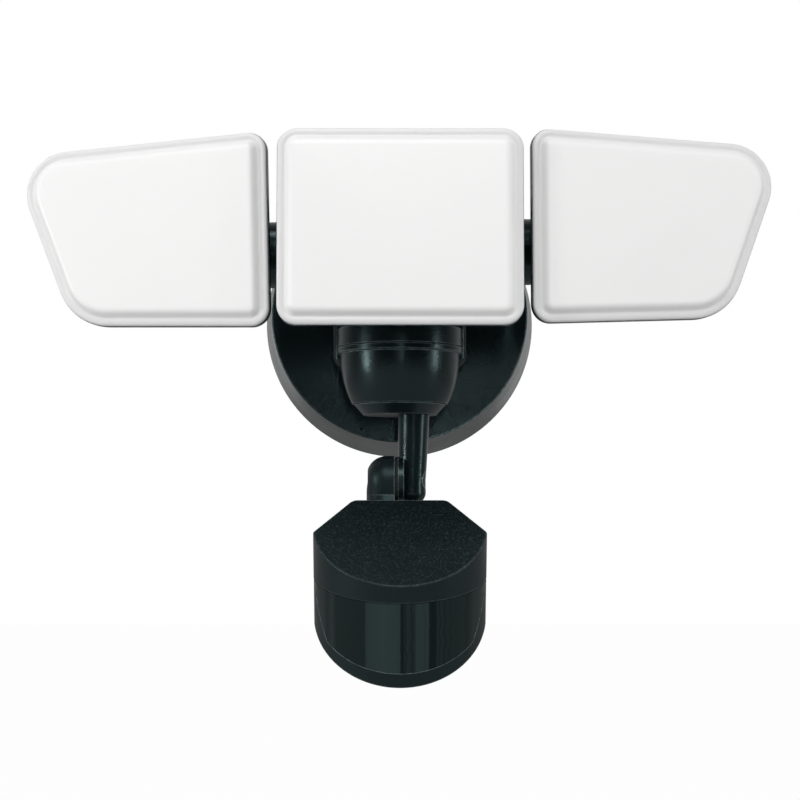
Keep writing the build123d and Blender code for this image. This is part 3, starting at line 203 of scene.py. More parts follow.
def make_edge_highlight_group():
    """A mask of the narrow rounded edges, where a lighter colour is laid on as a painted highlight.
    """
    group = bpy.data.node_groups.new("rubbed_edges", "ShaderNodeTree")
    for label, value in (("Width", 0.45), ("Break Up", 0.5)):
        socket = group.interface.new_socket(label, in_out="INPUT", socket_type="NodeSocketFloat")
        socket.default_value = value
    group.interface.new_socket("Edge", in_out="OUTPUT", socket_type="NodeSocketFloat")
    start = group.nodes.new("NodeGroupInput")
    end = group.nodes.new("NodeGroupOutput")
    metres = group.nodes.new("ShaderNodeMath")
    metres.operation = "MULTIPLY"
    metres.inputs[1].default_value = 0.001
    group.links.new(start.outputs["Width"], metres.inputs[0])
    rounded = group.nodes.new("ShaderNodeBevel")
    rounded.samples = 4
    group.links.new(metres.outputs[0], rounded.inputs["Radius"])
    surface = group.nodes.new("ShaderNodeNewGeometry")
    agree = group.nodes.new("ShaderNodeVectorMath")
    agree.operation = "DOT_PRODUCT"
    group.links.new(rounded.outputs["Normal"], agree.inputs[0])
    group.links.new(surface.outputs["True Normal"], agree.inputs[1])
    edge = group.nodes.new("ShaderNodeMapRange")
    edge.inputs["From Min"].default_value = 0.995
    edge.inputs["From Max"].default_value = 0.92
    group.links.new(agree.outputs["Value"], edge.inputs["Value"])
    place = group.nodes.new("ShaderNodeTexCoord")
    highlight_break_up = group.nodes.new("ShaderNodeTexNoise")
    highlight_break_up.inputs["Scale"].default_value = 420.0
    group.links.new(place.outputs["Object"], highlight_break_up.inputs["Vector"])
    keep = group.nodes.new("ShaderNodeMapRange")
    keep.inputs["From Min"].default_value = 0.35
    keep.inputs["From Max"].default_value = 0.6
    group.links.new(highlight_break_up.outputs["Fac"], keep.inputs["Value"])
    full = group.nodes.new("ShaderNodeMath")
    full.operation = "SUBTRACT"
    full.inputs[0].default_value = 1.0
    group.links.new(start.outputs["Break Up"], full.inputs[1])
    group.links.new(full.outputs[0], keep.inputs["To Min"])
    both = group.nodes.new("ShaderNodeMath")
    both.operation = "MULTIPLY"
    group.links.new(edge.outputs["Result"], both.inputs[0])
    group.links.new(keep.outputs["Result"], both.inputs[1])
    group.links.new(both.outputs[0], end.inputs["Edge"])
    return group


rubbed_edges = make_edge_highlight_group()


def new_finish(name):
    material = bpy.data.materials.new(name)
    material.use_nodes = True
    tree = material.node_tree
    return material, tree, tree.nodes["Principled BSDF"]


def grained(
    name, dark, light, roughness, grain, depth, metallic=0.0, specular=0.5, patch=30.0,
    sharpness=0.5, spread=0.06, tint=None, edge=None, edge_width=0.45,
    painted_sheen=None,
):
    """A finish whose colour, roughness and bump follow the grain and its wide patches."""
    material, tree, shader = new_finish(name)
    texture = tree.nodes.new("ShaderNodeGroup")
    texture.node_tree = surface_grain
    texture.inputs["Grain Size"].default_value = grain
    texture.inputs["Patch Size"].default_value = patch
    texture.inputs["Sharpness"].default_value = sharpness
    mask = tree.nodes.new("ShaderNodeMath")
    mask.operation = "MULTIPLY_ADD"
    mask.inputs[1].default_value = 0.5
    tree.links.new(texture.outputs["Specks"], mask.inputs[0])
    half = tree.nodes.new("ShaderNodeMath")
    half.operation = "MULTIPLY"
    half.inputs[1].default_value = 0.6
    tree.links.new(texture.outputs["Patches"], half.inputs[0])
    tree.links.new(half.outputs[0], mask.inputs[2])
    colour = tree.nodes.new("ShaderNodeMix")
    colour.data_type = "RGBA"
    colour.inputs["A"].default_value = (*dark, 1)
    colour.inputs["B"].default_value = (*light, 1)
    tree.links.new(mask.outputs[0], colour.inputs["Factor"])
    plain = colour.outputs["Result"]
    # Upward faces get a lighter colour in the specks: a painted sheen.
    if painted_sheen:
        facing = tree.nodes.new("ShaderNodeTexCoord")
        parts = tree.nodes.new("ShaderNodeSeparateXYZ")
        tree.links.new(facing.outputs["Normal"], parts.inputs[0])
        upward = tree.nodes.new("ShaderNodeMapRange")
        upward.inputs["From Min"].default_value = 0.45
        upward.inputs["From Max"].default_value = 0.85
        tree.links.new(parts.outputs["Z"], upward.inputs["Value"])
        sheen_mask = tree.nodes.new("ShaderNodeMath")
        sheen_mask.operation = "MULTIPLY"
        tree.links.new(upward.outputs["Result"], sheen_mask.inputs[0])
        tree.links.new(texture.outputs["Specks"], sheen_mask.inputs[1])
        sheened = tree.nodes.new("ShaderNodeMix")
        sheened.data_type = "RGBA"
        sheened.inputs["B"].default_value = (*painted_sheen, 1)
        tree.links.new(sheen_mask.outputs[0], sheened.inputs["Factor"])
        tree.links.new(plain, sheened.inputs["A"])
        plain = sheened.outputs["Result"]
    # The edge colour on narrow rounded edges is a painted highlight, broken up by noise.
    if edge:
        edge_highlight_mask = tree.nodes.new("ShaderNodeGroup")
        edge_highlight_mask.node_tree = rubbed_edges
        edge_highlight_mask.inputs["Width"].default_value = edge_width
        edge_highlight_mix = tree.nodes.new("ShaderNodeMix")
        edge_highlight_mix.data_type = "RGBA"
        edge_highlight_mix.inputs["B"].default_value = (*edge, 1)
        tree.links.new(edge_highlight_mask.outputs["Edge"], edge_highlight_mix.inputs["Factor"])
        tree.links.new(plain, edge_highlight_mix.inputs["A"])
        tree.links.new(edge_highlight_mix.outputs["Result"], shader.inputs["Base Color"])
    else:
        tree.links.new(plain, shader.inputs["Base Color"])
    if tint:
        shader.inputs["Specular Tint"].default_value = (*tint, 1)
    rough = tree.nodes.new("ShaderNodeMapRange")
    rough.inputs["From Min"].default_value = 0.3
    rough.inputs["From Max"].default_value = 0.7
    rough.inputs["To Min"].default_value = roughness - spread
    rough.inputs["To Max"].default_value = roughness + spread
    tree.links.new(texture.outputs["Patches"], rough.inputs["Value"])
    tree.links.new(rough.outputs["Result"], shader.inputs["Roughness"])
    bump = tree.nodes.new("ShaderNodeBump")
    bump.inputs["Strength"].default_value = 1.0
    bump.inputs["Distance"].default_value = depth / 1000.0
    tree.links.new(texture.outputs["Height"], bump.inputs["Height"])
    tree.links.new(bump.outputs["Normal"], shader.inputs["Normal"])
    shader.inputs["Metallic"].default_value = metallic
    shader.inputs["Specular IOR Level"].default_value = specular
    return material


def paint(material, *names):
    for name in names:
        mesh = nodes[name].data
        mesh.materials.clear()
        mesh.materials.append(material)


powder_coat = grained(
    "powder_coat", (0.0022, 0.0044, 0.0050), (0.0050, 0.0086, 0.0094), 0.27, 1.05, 0.070,
    specular=0.42, tint=(0.62, 0.92, 0.95), edge=(0.20, 0.26, 0.26), spread=0.04,
)
paint(
    powder_coat, "canopy", "hub_housing", "hub_cap", "collar_ring", "lower_cup",
    "centre_housing", "left_housing", "right_housing", "left_arm", "right_arm",
)

# ---- Sensor shells, swivel and arm ---------------------------------------------------
# Injection-moulded ABS, dyed black. The shells have a matt spark-eroded grain, and their upward
# faces such as the roof get lighter specks, a painted sheen; the arm and its nut are moulded
# smoother, with a satin shine. Narrow rounded edges of shells, arm and nut get a painted highlight.
moulded_black = grained(
    "moulded_black", (0.0034, 0.0064, 0.0070), (0.0066, 0.0112, 0.0120), 0.42, 0.75, 0.060,
    specular=0.34, sharpness=0.2, painted_sheen=(0.034, 0.044, 0.044), tint=(0.62, 0.92, 0.95),
    edge=(0.20, 0.26, 0.26),
)
paint(moulded_black, "sensor_cap", "sensor_base")
satin_black = grained(
    "satin_black", (0.0026, 0.0052, 0.0058), (0.0052, 0.0090, 0.0098), 0.30, 0.95, 0.060,
    specular=0.40, tint=(0.62, 0.92, 0.95), edge=(0.20, 0.26, 0.26), spread=0.04,
)
paint(satin_black, "sensor_arm", "swivel_ring")

# ---- Elbow plug ----------------------------------------------------------------------
# A moulded push-in plug that hides the tilt bolt's head. Its face follows the round of
# the arm, so that the elbow looks like one smooth bend.
arm_low = Vector(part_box("sensor_arm")[0])
plug_axis = Vector((arm_low.x + 0.0059, -0.080, -0.0757))
plug_radius, tube_round, plug_root = 0.00395, 0.00583, 0.0024
plug_steps = 40
plug_mesh = bpy.data.meshes.new("elbow_plug")
plug_shape = bmesh.new()
plug_rings = []
for share, face in ((1.0, False), (1.0, True), (0.8, True), (0.55, True), (0.3, True)):
    ring = []
    for k in range(plug_steps):
        turn = 2 * math.pi * k / plug_steps
        y, z = share * plug_radius * math.cos(turn), share * plug_radius * math.sin(turn)
        x = math.sqrt(tube_round**2 - y**2) if face else plug_root
        ring.append(plug_shape.verts.new(plug_axis + Vector((x, y, z))))
    plug_rings.append(ring)
for low, high in zip(plug_rings, plug_rings[1:]):
    for k in range(plug_steps):
        after = (k + 1) % plug_steps
        plug_shape.faces.new((low[k], low[after], high[after], high[k]))
plug_shape.faces.new(plug_rings[-1])
plug_shape.faces.new(plug_rings[0])
bmesh.ops.recalc_face_normals(plug_shape, faces=plug_shape.faces)
for face in plug_shape.faces:
    face.smooth = abs(face.normal.x) > 0.6
plug_shape.to_mesh(plug_mesh)
plug_shape.free()
plug_mesh.materials.append(satin_black)
plug = bpy.data.objects.new("elbow_plug", plug_mesh)
scene.collection.objects.link(plug)
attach(plug, "sensor_arm")

# ---- Lamp lenses ---------------------------------------------------------------------
# Opal acrylic covers, injection moulded: a rolled bead round the edge, a shallow valley
# inside it, and a soft slope up to the flat, slightly raised window.
opal, opal_tree, opal_shader = new_finish("opal_acrylic")
opal_cloud = opal_tree.nodes.new("ShaderNodeGroup")
opal_cloud.node_tree = surface_grain
opal_cloud.inputs["Grain Size"].default_value = 3.5
opal_cloud.inputs["Patch Size"].default_value = 60.0
opal_cloud.inputs["Sharpness"].default_value = 0.0
opal_tint = opal_tree.nodes.new("ShaderNodeMix")
opal_tint.data_type = "RGBA"
opal_tint.inputs["A"].default_value = (0.905, 0.905, 0.9, 1)
opal_tint.inputs["B"].default_value = (0.93, 0.93, 0.925, 1)
opal_tree.links.new(opal_cloud.outputs["Patches"], opal_tint.inputs["Factor"])
# The bead and valley round each cover get a darker colour that fades out up the slope: painted
# shade.
opal_reach = opal_tree.nodes.new("ShaderNodeAttribute")
opal_reach.attribute_name = "from_edge"
opal_band_shade = opal_tree.nodes.new("ShaderNodeMix")
opal_band_shade.data_type = "RGBA"
opal_band_shade.inputs["A"].default_value = (0.775, 0.775, 0.775, 1)
opal_tree.links.new(opal_reach.outputs["Fac"], opal_band_shade.inputs["Factor"])
opal_tree.links.new(opal_tint.outputs["Result"], opal_band_shade.inputs["B"])
opal_tree.links.new(opal_band_shade.outputs["Result"], opal_shader.inputs["Base Color"])
opal_rough = opal_tree.nodes.new("ShaderNodeMapRange")
opal_rough.inputs["To Min"].default_value = 0.3
opal_rough.inputs["To Max"].default_value = 0.42
opal_tree.links.new(opal_cloud.outputs["Patches"], opal_rough.inputs["Value"])
opal_tree.links.new(opal_rough.outputs["Result"], opal_shader.inputs["Roughness"])
opal_bump = opal_tree.nodes.new("ShaderNodeBump")
opal_bump.inputs["Distance"].default_value = 0.00002
opal_tree.links.new(opal_cloud.outputs["Height"], opal_bump.inputs["Height"])
opal_tree.links.new(opal_bump.outputs["Normal"], opal_shader.inputs["Normal"])
opal_shader.inputs["Specular IOR Level"].default_value = 0.4

lens_profile = (
    (0.6, -5.2), (0.6, -4.42), (0.58, -4.4), (0.22, -4.4), (0.2, -4.38), (0.2, -3.7),
    (0.3, -3.25), (0.56, -2.9), (0.95, -2.66), (1.45, -2.52), (2.0, -2.5), (2.5, -2.58),
    (2.95, -2.76), (3.4, -2.72), (3.9, -2.3), (4.5, -1.45), (5.2, -0.7), (5.9, -0.25),
    (6.7, -0.06), (7.5, -0.01),
)
# Width in mm of the painted shade band, and of its fade towards the flat window.
band_width, slope_width = 2.6, 3.6
lens_inside = ((7.4, -1.7), (5.2, -2.6), (3.4, -4.3), (2.3, -4.6), (2.3, -5.2))


def rounded_ring(corners, inset, steps=10, straight=6):
    """Points round a convex outline, every corner an arc, moved inwards by the inset."""
    count = len(corners)
    lines = []
    for i in range(count):
        a = Vector(corners[i][:2])
        b = Vector(corners[(i + 1) % count][:2])
        along = (b - a).normalized()
        inward = Vector((-along.y, along.x))
        lines.append((a + inward * inset, along, inward))
    arcs = []
    for i in range(count):
        point_a, along_a, inward_a = lines[i - 1]
        point_b, along_b, inward_b = lines[i]
        radius = max(corners[i][2] - inset, 0.6)
        cross = along_a.x * along_b.y - along_a.y * along_b.x
        gap = point_b - point_a
        apex = point_a + along_a * ((gap.x * along_b.y - gap.y * along_b.x) / cross)
        turn = math.acos(max(-1.0, min(1.0, along_a.dot(along_b))))
        back = radius * math.tan(turn / 2)
        middle = apex - along_a * back + inward_a * radius
        first = math.atan2(-inward_a.y, -inward_a.x)
        angles = [first + turn * s / steps for s in range(steps + 1)]
        arcs.append([middle + Vector((math.cos(a), math.sin(a))) * radius for a in angles])
    ring = []
    for i in range(count):
        ring.extend(arcs[i])
        start, end = arcs[i][-1], arcs[(i + 1) % count][0]
        ring.extend(start.lerp(end, s / straight) for s in range(1, straight))
    return ring


def make_lens(name, node, body, corners, origin, right, up, front):
    """One opal cover as a closed shell, from the head's corner points in mm."""
    mesh = bpy.data.meshes.new(name)
    lens_shape = bmesh.new()
    from_edge = lens_shape.verts.layers.float.new("from_edge")
    rows = []
    for inset, depth in lens_profile + lens_inside:
        row = [
            lens_shape.verts.new(origin + (right * p.x + up * p.y + front * depth) / 1000.0)
            for p in rounded_ring(corners, inset)
        ]
        # from_edge is 0 in the painted shade band and 1 on the flat window.
        for vert in row:
            vert[from_edge] = min(1.0, max(0.0, (inset - band_width) / slope_width))
        rows.append(row)
    count = len(rows[0])
    last = len(lens_profile) - 1
    for low, high in list(zip(rows, rows[1:])) + [(rows[-1], rows[0])]:
        if low is rows[last]:
            continue
        for i in range(count):
            lens_shape.faces.new((low[i], low[(i + 1) % count], high[(i + 1) % count], high[i]))
    lens_shape.faces.new(rows[last])
    lens_shape.faces.new(list(reversed(rows[last + 1])))
    bmesh.ops.recalc_face_normals(lens_shape, faces=lens_shape.faces)
    for face in lens_shape.faces:
        face.smooth = True
    lens_shape.to_mesh(mesh)
    lens_shape.free()
    mesh.materials.append(opal)
    lens = bpy.data.objects.new(name, mesh)
    scene.collection.objects.link(lens)
    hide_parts(node)
    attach(lens, body)
    return lens


centre_corners = [(-48.6, -39.1, 8.0), (48.6, -39.1, 8.0), (48.6, 39.1, 8.0), (-48.6, 39.1, 8.0)]
make_lens(
    "centre_cover", "centre_lens", "centre_head", centre_corners,
    Vector((0, -0.138, 0.0229)), Vector((1, 0, 0)), Vector((0, 0, 1)), Vector((0, -1, 0)),
)

half_height = 39.25
taper = math.tan(math.radians(2.45))
lean = math.tan(math.radians(20.3))
top_reach = (94.1 + half_height * lean) / (1 + taper * lean)
bottom_reach = (94.1 - half_height * lean) / (1 - taper * lean)
yaw = math.radians(8.2)
droop = Matrix.Rotation(math.radians(-1.5), 3, "Y")
arm_axis = Vector((0, -0.088, 0.0204))
pin_across, pin_to_edge, pin_to_front, head_rise = 0.064, 0.0173, 0.0419, 0.0041
head_axes = {"centre": (Vector((1, 0, 0)), Vector((0, 0, 1)), Vector((0, -1, 0)))}
for name, side, sag in (("left", -1, droop), ("right", 1, Matrix.Identity(3))):
    right = sag @ Vector((math.cos(yaw), side * math.sin(yaw), 0))
    front = sag @ Vector((side * math.sin(yaw), -math.cos(yaw), 0))
    up = sag @ Vector((0, 0, 1))
    head_axes[name] = (right, up, front)
    level = Vector(
        (
            side * (pin_across - pin_to_edge * math.cos(yaw) + pin_to_front * math.sin(yaw)),
            arm_axis.y - pin_to_edge * math.sin(yaw) - pin_to_front * math.cos(yaw),
            arm_axis.z + head_rise,
        )
    )
    origin = arm_axis + sag @ (level - arm_axis)
    corners = [
        (0, -half_height, 7.5),
        (side * bottom_reach, -half_height + taper * bottom_reach, 22.2),
        (side * top_reach, half_height - taper * top_reach, 17.2),
        (0, half_height, 7.5),
    ]
    if side < 0:
        corners.reverse()
    make_lens(f"{name}_cover", f"{name}_lens", f"{name}_head", corners, origin, right, up, front)

# ---- Sensor window -------------------------------------------------------------------
# A smoked polyethylene lens, thin and glossy, bent round the sensor's front. Its light and dark
# upright zones and the wavy lines are painted reflections, coloured in the material over the dark
# smoke, with a slight bump; no rib is shaped.
smoked, smoked_tree, smoked_shader = new_finish("smoked_lens")


def smoked_node(kind, **values):
    node = smoked_tree.nodes.new(kind)
    for label, value in values.items():
        node.inputs[label.replace("_", " ")].default_value = value
    return node


def smoked_link(output, target):
    smoked_tree.links.new(output, target)


smoked_place = smoked_node("ShaderNodeUVMap")
smoked_place.uv_map = "around"
stretch = smoked_node("ShaderNodeMapping", Scale=(1.0, 0.055, 1.0))
smoked_link(smoked_place.outputs["UV"], stretch.inputs["Vector"])
streaks = smoked_node("ShaderNodeTexNoise", Scale=210.0, Detail=3.0)
smoked_link(stretch.outputs["Vector"], streaks.inputs["Vector"])
sway_stretch = smoked_node("ShaderNodeMapping", Scale=(0.25, 1.0, 1.0))
smoked_link(smoked_place.outputs["UV"], sway_stretch.inputs["Vector"])
sway = smoked_node("ShaderNodeTexNoise", Scale=170.0, Detail=1.0)
smoked_link(sway_stretch.outputs["Vector"], sway.inputs["Vector"])
across = smoked_node("ShaderNodeSeparateXYZ")
smoked_link(smoked_place.outputs["UV"], across.inputs[0])


def reflection_zones(sway_mm, stops):
    """Painted reflections: light and dark upright zones of the window, by arc length in mm."""
    shift = smoked_tree.nodes.new("ShaderNodeMapRange")
    shift.clamp = False
    shift.inputs["To Min"].default_value = -sway_mm / 1000.0
    shift.inputs["To Max"].default_value = sway_mm / 1000.0
    smoked_link(sway.outputs["Fac"], shift.inputs["Value"])
    moved = smoked_tree.nodes.new("ShaderNodeMath")
    moved.operation = "ADD"
    smoked_link(across.outputs["X"], moved.inputs[0])
    smoked_link(shift.outputs["Result"], moved.inputs[1])
    share = smoked_tree.nodes.new("ShaderNodeMapRange")
    share.inputs["From Min"].default_value = -0.045
    share.inputs["From Max"].default_value = 0.045
    smoked_link(moved.outputs[0], share.inputs["Value"])
    ramp = smoked_tree.nodes.new("ShaderNodeValToRGB")
    while len(ramp.color_ramp.elements) < len(stops):
        ramp.color_ramp.elements.new(0.5)
    for element, (place, value) in zip(ramp.color_ramp.elements, stops):
        element.position = (place + 45.0) / 90.0
        element.color = (value, value, value, 1)
    smoked_link(share.outputs["Result"], ramp.inputs["Fac"])
    return ramp.outputs["Color"]


broad_reflections = reflection_zones(
    0.25,
    (
        (-45, 0.1), (-37, 0.3), (-34, 0.05), (-31, 0.5), (-28.5, 0.12), (-14.4, 0.2),
        (-13.6, 0.75), (-7, 0.95), (-0.1, 0.85), (0.3, 0.0), (1.2, 0.0), (1.8, 0.45), (5.7, 0.35),
        (6.2, 0.8), (11.2, 0.9), (11.7, 0.0), (14.4, 0.0), (15.0, 0.4), (20, 0.25), (28, 0.2),
        (30, 0.0), (34, 0.35), (45, 0.1),
    ),
)
reflection_lines = reflection_zones(
    1.1,
    (
        (-45, 1), (1.6, 1), (2.1, 0.1), (2.5, 1), (4.1, 1), (4.5, 0.1), (4.9, 1), (9.4, 1),
        (9.7, 0.5), (10.0, 1), (15.6, 1), (16.0, 0.05), (16.5, 1), (17.8, 1), (18.3, 0.1),
        (18.8, 1), (20.6, 1), (21.0, 0.3), (21.3, 1), (45, 1),
    ),
)
reflection_mask = smoked_tree.nodes.new("ShaderNodeMath")
reflection_mask.operation = "MULTIPLY"
smoked_link(broad_reflections, reflection_mask.inputs[0])
smoked_link(reflection_lines, reflection_mask.inputs[1])
# Colour A is the lens's own dark smoke; colour B is a painted reflection laid on by the mask.
smoked_and_reflection = smoked_tree.nodes.new("ShaderNodeMix")
smoked_and_reflection.data_type = "RGBA"
smoked_and_reflection.inputs["A"].default_value = (0.0012, 0.0042, 0.0040, 1)
smoked_and_reflection.inputs["B"].default_value = (0.0240, 0.0380, 0.0385, 1)
smoked_link(reflection_mask.outputs[0], smoked_and_reflection.inputs["Factor"])
smoked_link(smoked_and_reflection.outputs["Result"], smoked_shader.inputs["Base Color"])
relief = smoked_tree.nodes.new("ShaderNodeMix")
relief.inputs["Factor"].default_value = 0.35
smoked_link(streaks.outputs["Fac"], relief.inputs["A"])
smoked_link(reflection_mask.outputs[0], relief.inputs["B"])
smoked_bump = smoked_node("ShaderNodeBump", Distance=0.00018)
smoked_link(relief.outputs["Result"], smoked_bump.inputs["Height"])
smoked_link(smoked_bump.outputs["Normal"], smoked_shader.inputs["Normal"])
smoked_rough = smoked_tree.nodes.new("ShaderNodeMapRange")
smoked_rough.inputs["To Min"].default_value = 0.12
smoked_rough.inputs["To Max"].default_value = 0.22
smoked_link(streaks.outputs["Fac"], smoked_rough.inputs["Value"])
smoked_link(smoked_rough.outputs["Result"], smoked_shader.inputs["Roughness"])
smoked_shader.inputs["Specular IOR Level"].default_value = 0.22
smoked_shader.inputs["Specular Tint"].default_value = (0.7, 0.95, 0.97, 1)

nod = math.radians(16.8)
sensor_up = Vector((0, -math.sin(nod), math.cos(nod)))
sensor_front = Vector((0, -math.cos(nod), -math.sin(nod)))
sensor_origin = Vector((0, -0.080, -0.0757)) + sensor_front * 0.0263 - sensor_up * 0.011
window_top, window_top_slope = -21.9, 0.01
window_bottom, window_bottom_slope = -33.4, -0.479
window_back, window_end_slope = 7.3, 0.605
window_outside, window_inside = 35.5, 34.1


def sensor_point(angle, radius, height):
    """A point on the sensor's round front, in metres, from mm in its own frame."""
    across = radius * math.sin(angle)
    forward = radius * math.cos(angle)
    in_mm = Vector((1, 0, 0)) * across + sensor_front * forward + sensor_up * height
    return sensor_origin + in_mm / 1000.0


def window_end(share, radius):
    """The half angle of the window at a share of its height; its ends lean."""
    half = math.radians(70)
    for step in range(12):
        forward = radius * math.cos(half)
        top = window_top + window_top_slope * forward
        bottom = window_bottom + window_bottom_slope * forward
        height = bottom + (top - bottom) * share
        half = math.acos((window_back + window_end_slope * (window_top - height)) / radius)
    return half


window_mesh = bpy.data.meshes.new("sensor_window")
window_shape = bmesh.new()
uv_layer = window_shape.loops.layers.uv.new("around")
window_steps, window_rows = 120, 10
sheets = []
for radius in (window_outside, window_inside):
    sheet = []
    for i in range(window_steps + 1):
        column = []
        for j in range(window_rows + 1):
            share = j / window_rows
            half = window_end(share, radius)
            angle = half * (2 * i / window_steps - 1)
            forward = radius * math.cos(angle)
            top = window_top + window_top_slope * forward
            bottom = window_bottom + window_bottom_slope * forward
            height = bottom + (top - bottom) * share
            vert = window_shape.verts.new(sensor_point(angle, radius, height))
            column.append((vert, (radius * angle / 1000.0, height / 1000.0)))
        sheet.append(column)
    sheets.append(sheet)


def window_face(*corners):
    face = window_shape.faces.new([vert for vert, _ in corners])
    face.smooth = True
    for loop, (vert, uv) in zip(face.loops, corners):
        loop[uv_layer].uv = uv


outer, inner = sheets
for i in range(window_steps):
    for j in range(window_rows):
        window_face(outer[i][j], outer[i + 1][j], outer[i + 1][j + 1], outer[i][j + 1])
        window_face(inner[i][j + 1], inner[i + 1][j + 1], inner[i + 1][j], inner[i][j])
    window_face(inner[i][0], inner[i + 1][0], outer[i + 1][0], outer[i][0])
    window_face(outer[i][-1], outer[i + 1][-1], inner[i + 1][-1], inner[i][-1])
for j in range(window_rows):
    window_face(inner[0][j], outer[0][j], outer[0][j + 1], inner[0][j + 1])
    window_face(outer[-1][j], inner[-1][j], inner[-1][j + 1], outer[-1][j + 1])
window_shape.to_mesh(window_mesh)
window_shape.free()
window_mesh.materials.append(smoked)
window = bpy.data.objects.new("sensor_window", window_mesh)
scene.collection.objects.link(window)
edges = window.modifiers.new("edge_round", "EDGE_SPLIT")
edges.split_angle = math.radians(50)
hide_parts("sensor_lens")
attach(window, "sensor_head")

# ---- Fixings -------------------------------------------------------------------------
# Zinc-plated steel screws, pins, nuts and the strap; the canopy's own screws are
# blackened, and the ground screw is lacquered green.
zinc = grained(
    "zinc_plate", (0.50, 0.50, 0.48), (0.66, 0.66, 0.63), 0.34, 0.25, 0.006, metallic=1.0, patch=6.0,
)
paint(
    zinc, "mounting_strap", "neck_screws", "centre_hinge_pin",
    "centre_hinge_nut", "left_swing_pin", "left_swing_nut", "right_swing_pin", "right_swing_nut",
    "arm_lock_screws", "sensor_screws", "cup_screws", "centre_lens_screws", "left_lens_screws",
    "right_lens_screws",
)
black_oxide = grained(
    "black_oxide", (0.010, 0.013, 0.014), (0.022, 0.027, 0.028), 0.42, 0.3, 0.01, patch=5.0,
)
paint(black_oxide, "canopy_screws", "tilt_bolt", "tilt_nut")
green_lacquer = grained(
    "green_lacquer", (0.03, 0.25, 0.07), (0.05, 0.36, 0.11), 0.35, 0.3, 0.005, patch=4.0,
)
paint(green_lacquer, "ground_screw")

# ---- Gasket, seals and friction washer -----------------------------------------------
# Black closed-cell foam and moulded rubber, dull and slightly mottled. The washer is
# pressed between the sensor's lug and the arm, and fills the space between them.
foam = grained(
    "foam_rubber", (0.014, 0.014, 0.015), (0.032, 0.032, 0.034), 0.85, 0.6, 0.05, specular=0.25,
)
paint(foam, "wall_gasket", "centre_seal", "left_seal", "right_seal", "friction_washer")
washer_low, washer_high = (Vector(corner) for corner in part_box("friction_washer"))
washer_middle = (washer_low + washer_high) / 2
washer_radius = (washer_high.z - washer_low.z) / 2
washer_mesh = bpy.data.meshes.new("pressed_washer")
washer_shape = bmesh.new()
washer_rings = []
washer_sides, washer_bore, washer_round = 64, 0.0023, 0.0002
lug_side, arm_side = washer_low.x - 0.00009, washer_high.x
for x, radius in (
    (lug_side, washer_bore), (lug_side, washer_radius - washer_round),
    (lug_side + washer_round, washer_radius), (arm_side, washer_radius), (arm_side, washer_bore),
):
    ring = []
    for k in range(washer_sides):
        turn = 2 * math.pi * k / washer_sides
        y = washer_middle.y + radius * math.cos(turn)
        z = washer_middle.z + radius * math.sin(turn)
        ring.append(washer_shape.verts.new((x, y, z)))
    washer_rings.append(ring)
for low, high in zip(washer_rings, washer_rings[1:] + washer_rings[:1]):
    for k in range(washer_sides):
        after = (k + 1) % washer_sides
        washer_shape.faces.new((low[k], low[after], high[after], high[k]))
bmesh.ops.recalc_face_normals(washer_shape, faces=washer_shape.faces)
washer_shape.to_mesh(washer_mesh)
washer_shape.free()
washer_mesh.materials.append(foam)
washer = bpy.data.objects.new("pressed_washer", washer_mesh)
scene.collection.objects.link(washer)
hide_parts("friction_washer")
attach(washer, "sensor_arm")

# ---- Driver, terminal block and inner mouldings --------------------------------------
# A grey potting tray with its lid, the sensor's inner holder and the swivel's nut, all
# moulded in grey, and a natural nylon terminal block.
grey_moulding = grained(
    "grey_moulding", (0.085, 0.09, 0.095), (0.13, 0.135, 0.14), 0.55, 0.4, 0.02,
)
paint(grey_moulding, "driver_case", "driver_cover", "detector_holder", "swivel_nut")
nylon = grained("nylon", (0.68, 0.67, 0.61), (0.8, 0.79, 0.73), 0.42, 0.8, 0.01)
paint(nylon, "terminal_block")

# ---- Dials ---------------------------------------------------------------------------
# Two pale moulded trimmer dials in the sensor's underside. Each has a ring of small
# grip ribs moulded round its rim.
dial_plastic = grained("dial_plastic", (0.50, 0.50, 0.485), (0.6, 0.6, 0.58), 0.4, 0.4, 0.01)
paint(dial_plastic, "range_dial", "time_dial")


def grown(name, tree, seed_mesh, matrix, **values):
    """Runs a tree on a seed mesh, keeps the result as a plain mesh and puts it in place."""
    piece = bpy.data.objects.new(name, seed_mesh)
    scene.collection.objects.link(piece)
    modifier = piece.modifiers.new(tree.name, "NODES")
    modifier.node_group = tree
    for item in tree.interface.items_tree:
        label = item.name.lower().replace(" ", "_")
        if item.in_out == "INPUT" and label in values:
            modifier[item.identifier] = values[label]
    view = bpy.context.evaluated_depsgraph_get()
    mesh = bpy.data.meshes.new_from_object(piece.evaluated_get(view), depsgraph=view)
    piece.modifiers.remove(modifier)
    mesh.transform(matrix)
    mesh.name = name
    piece.data = mesh
    return piece


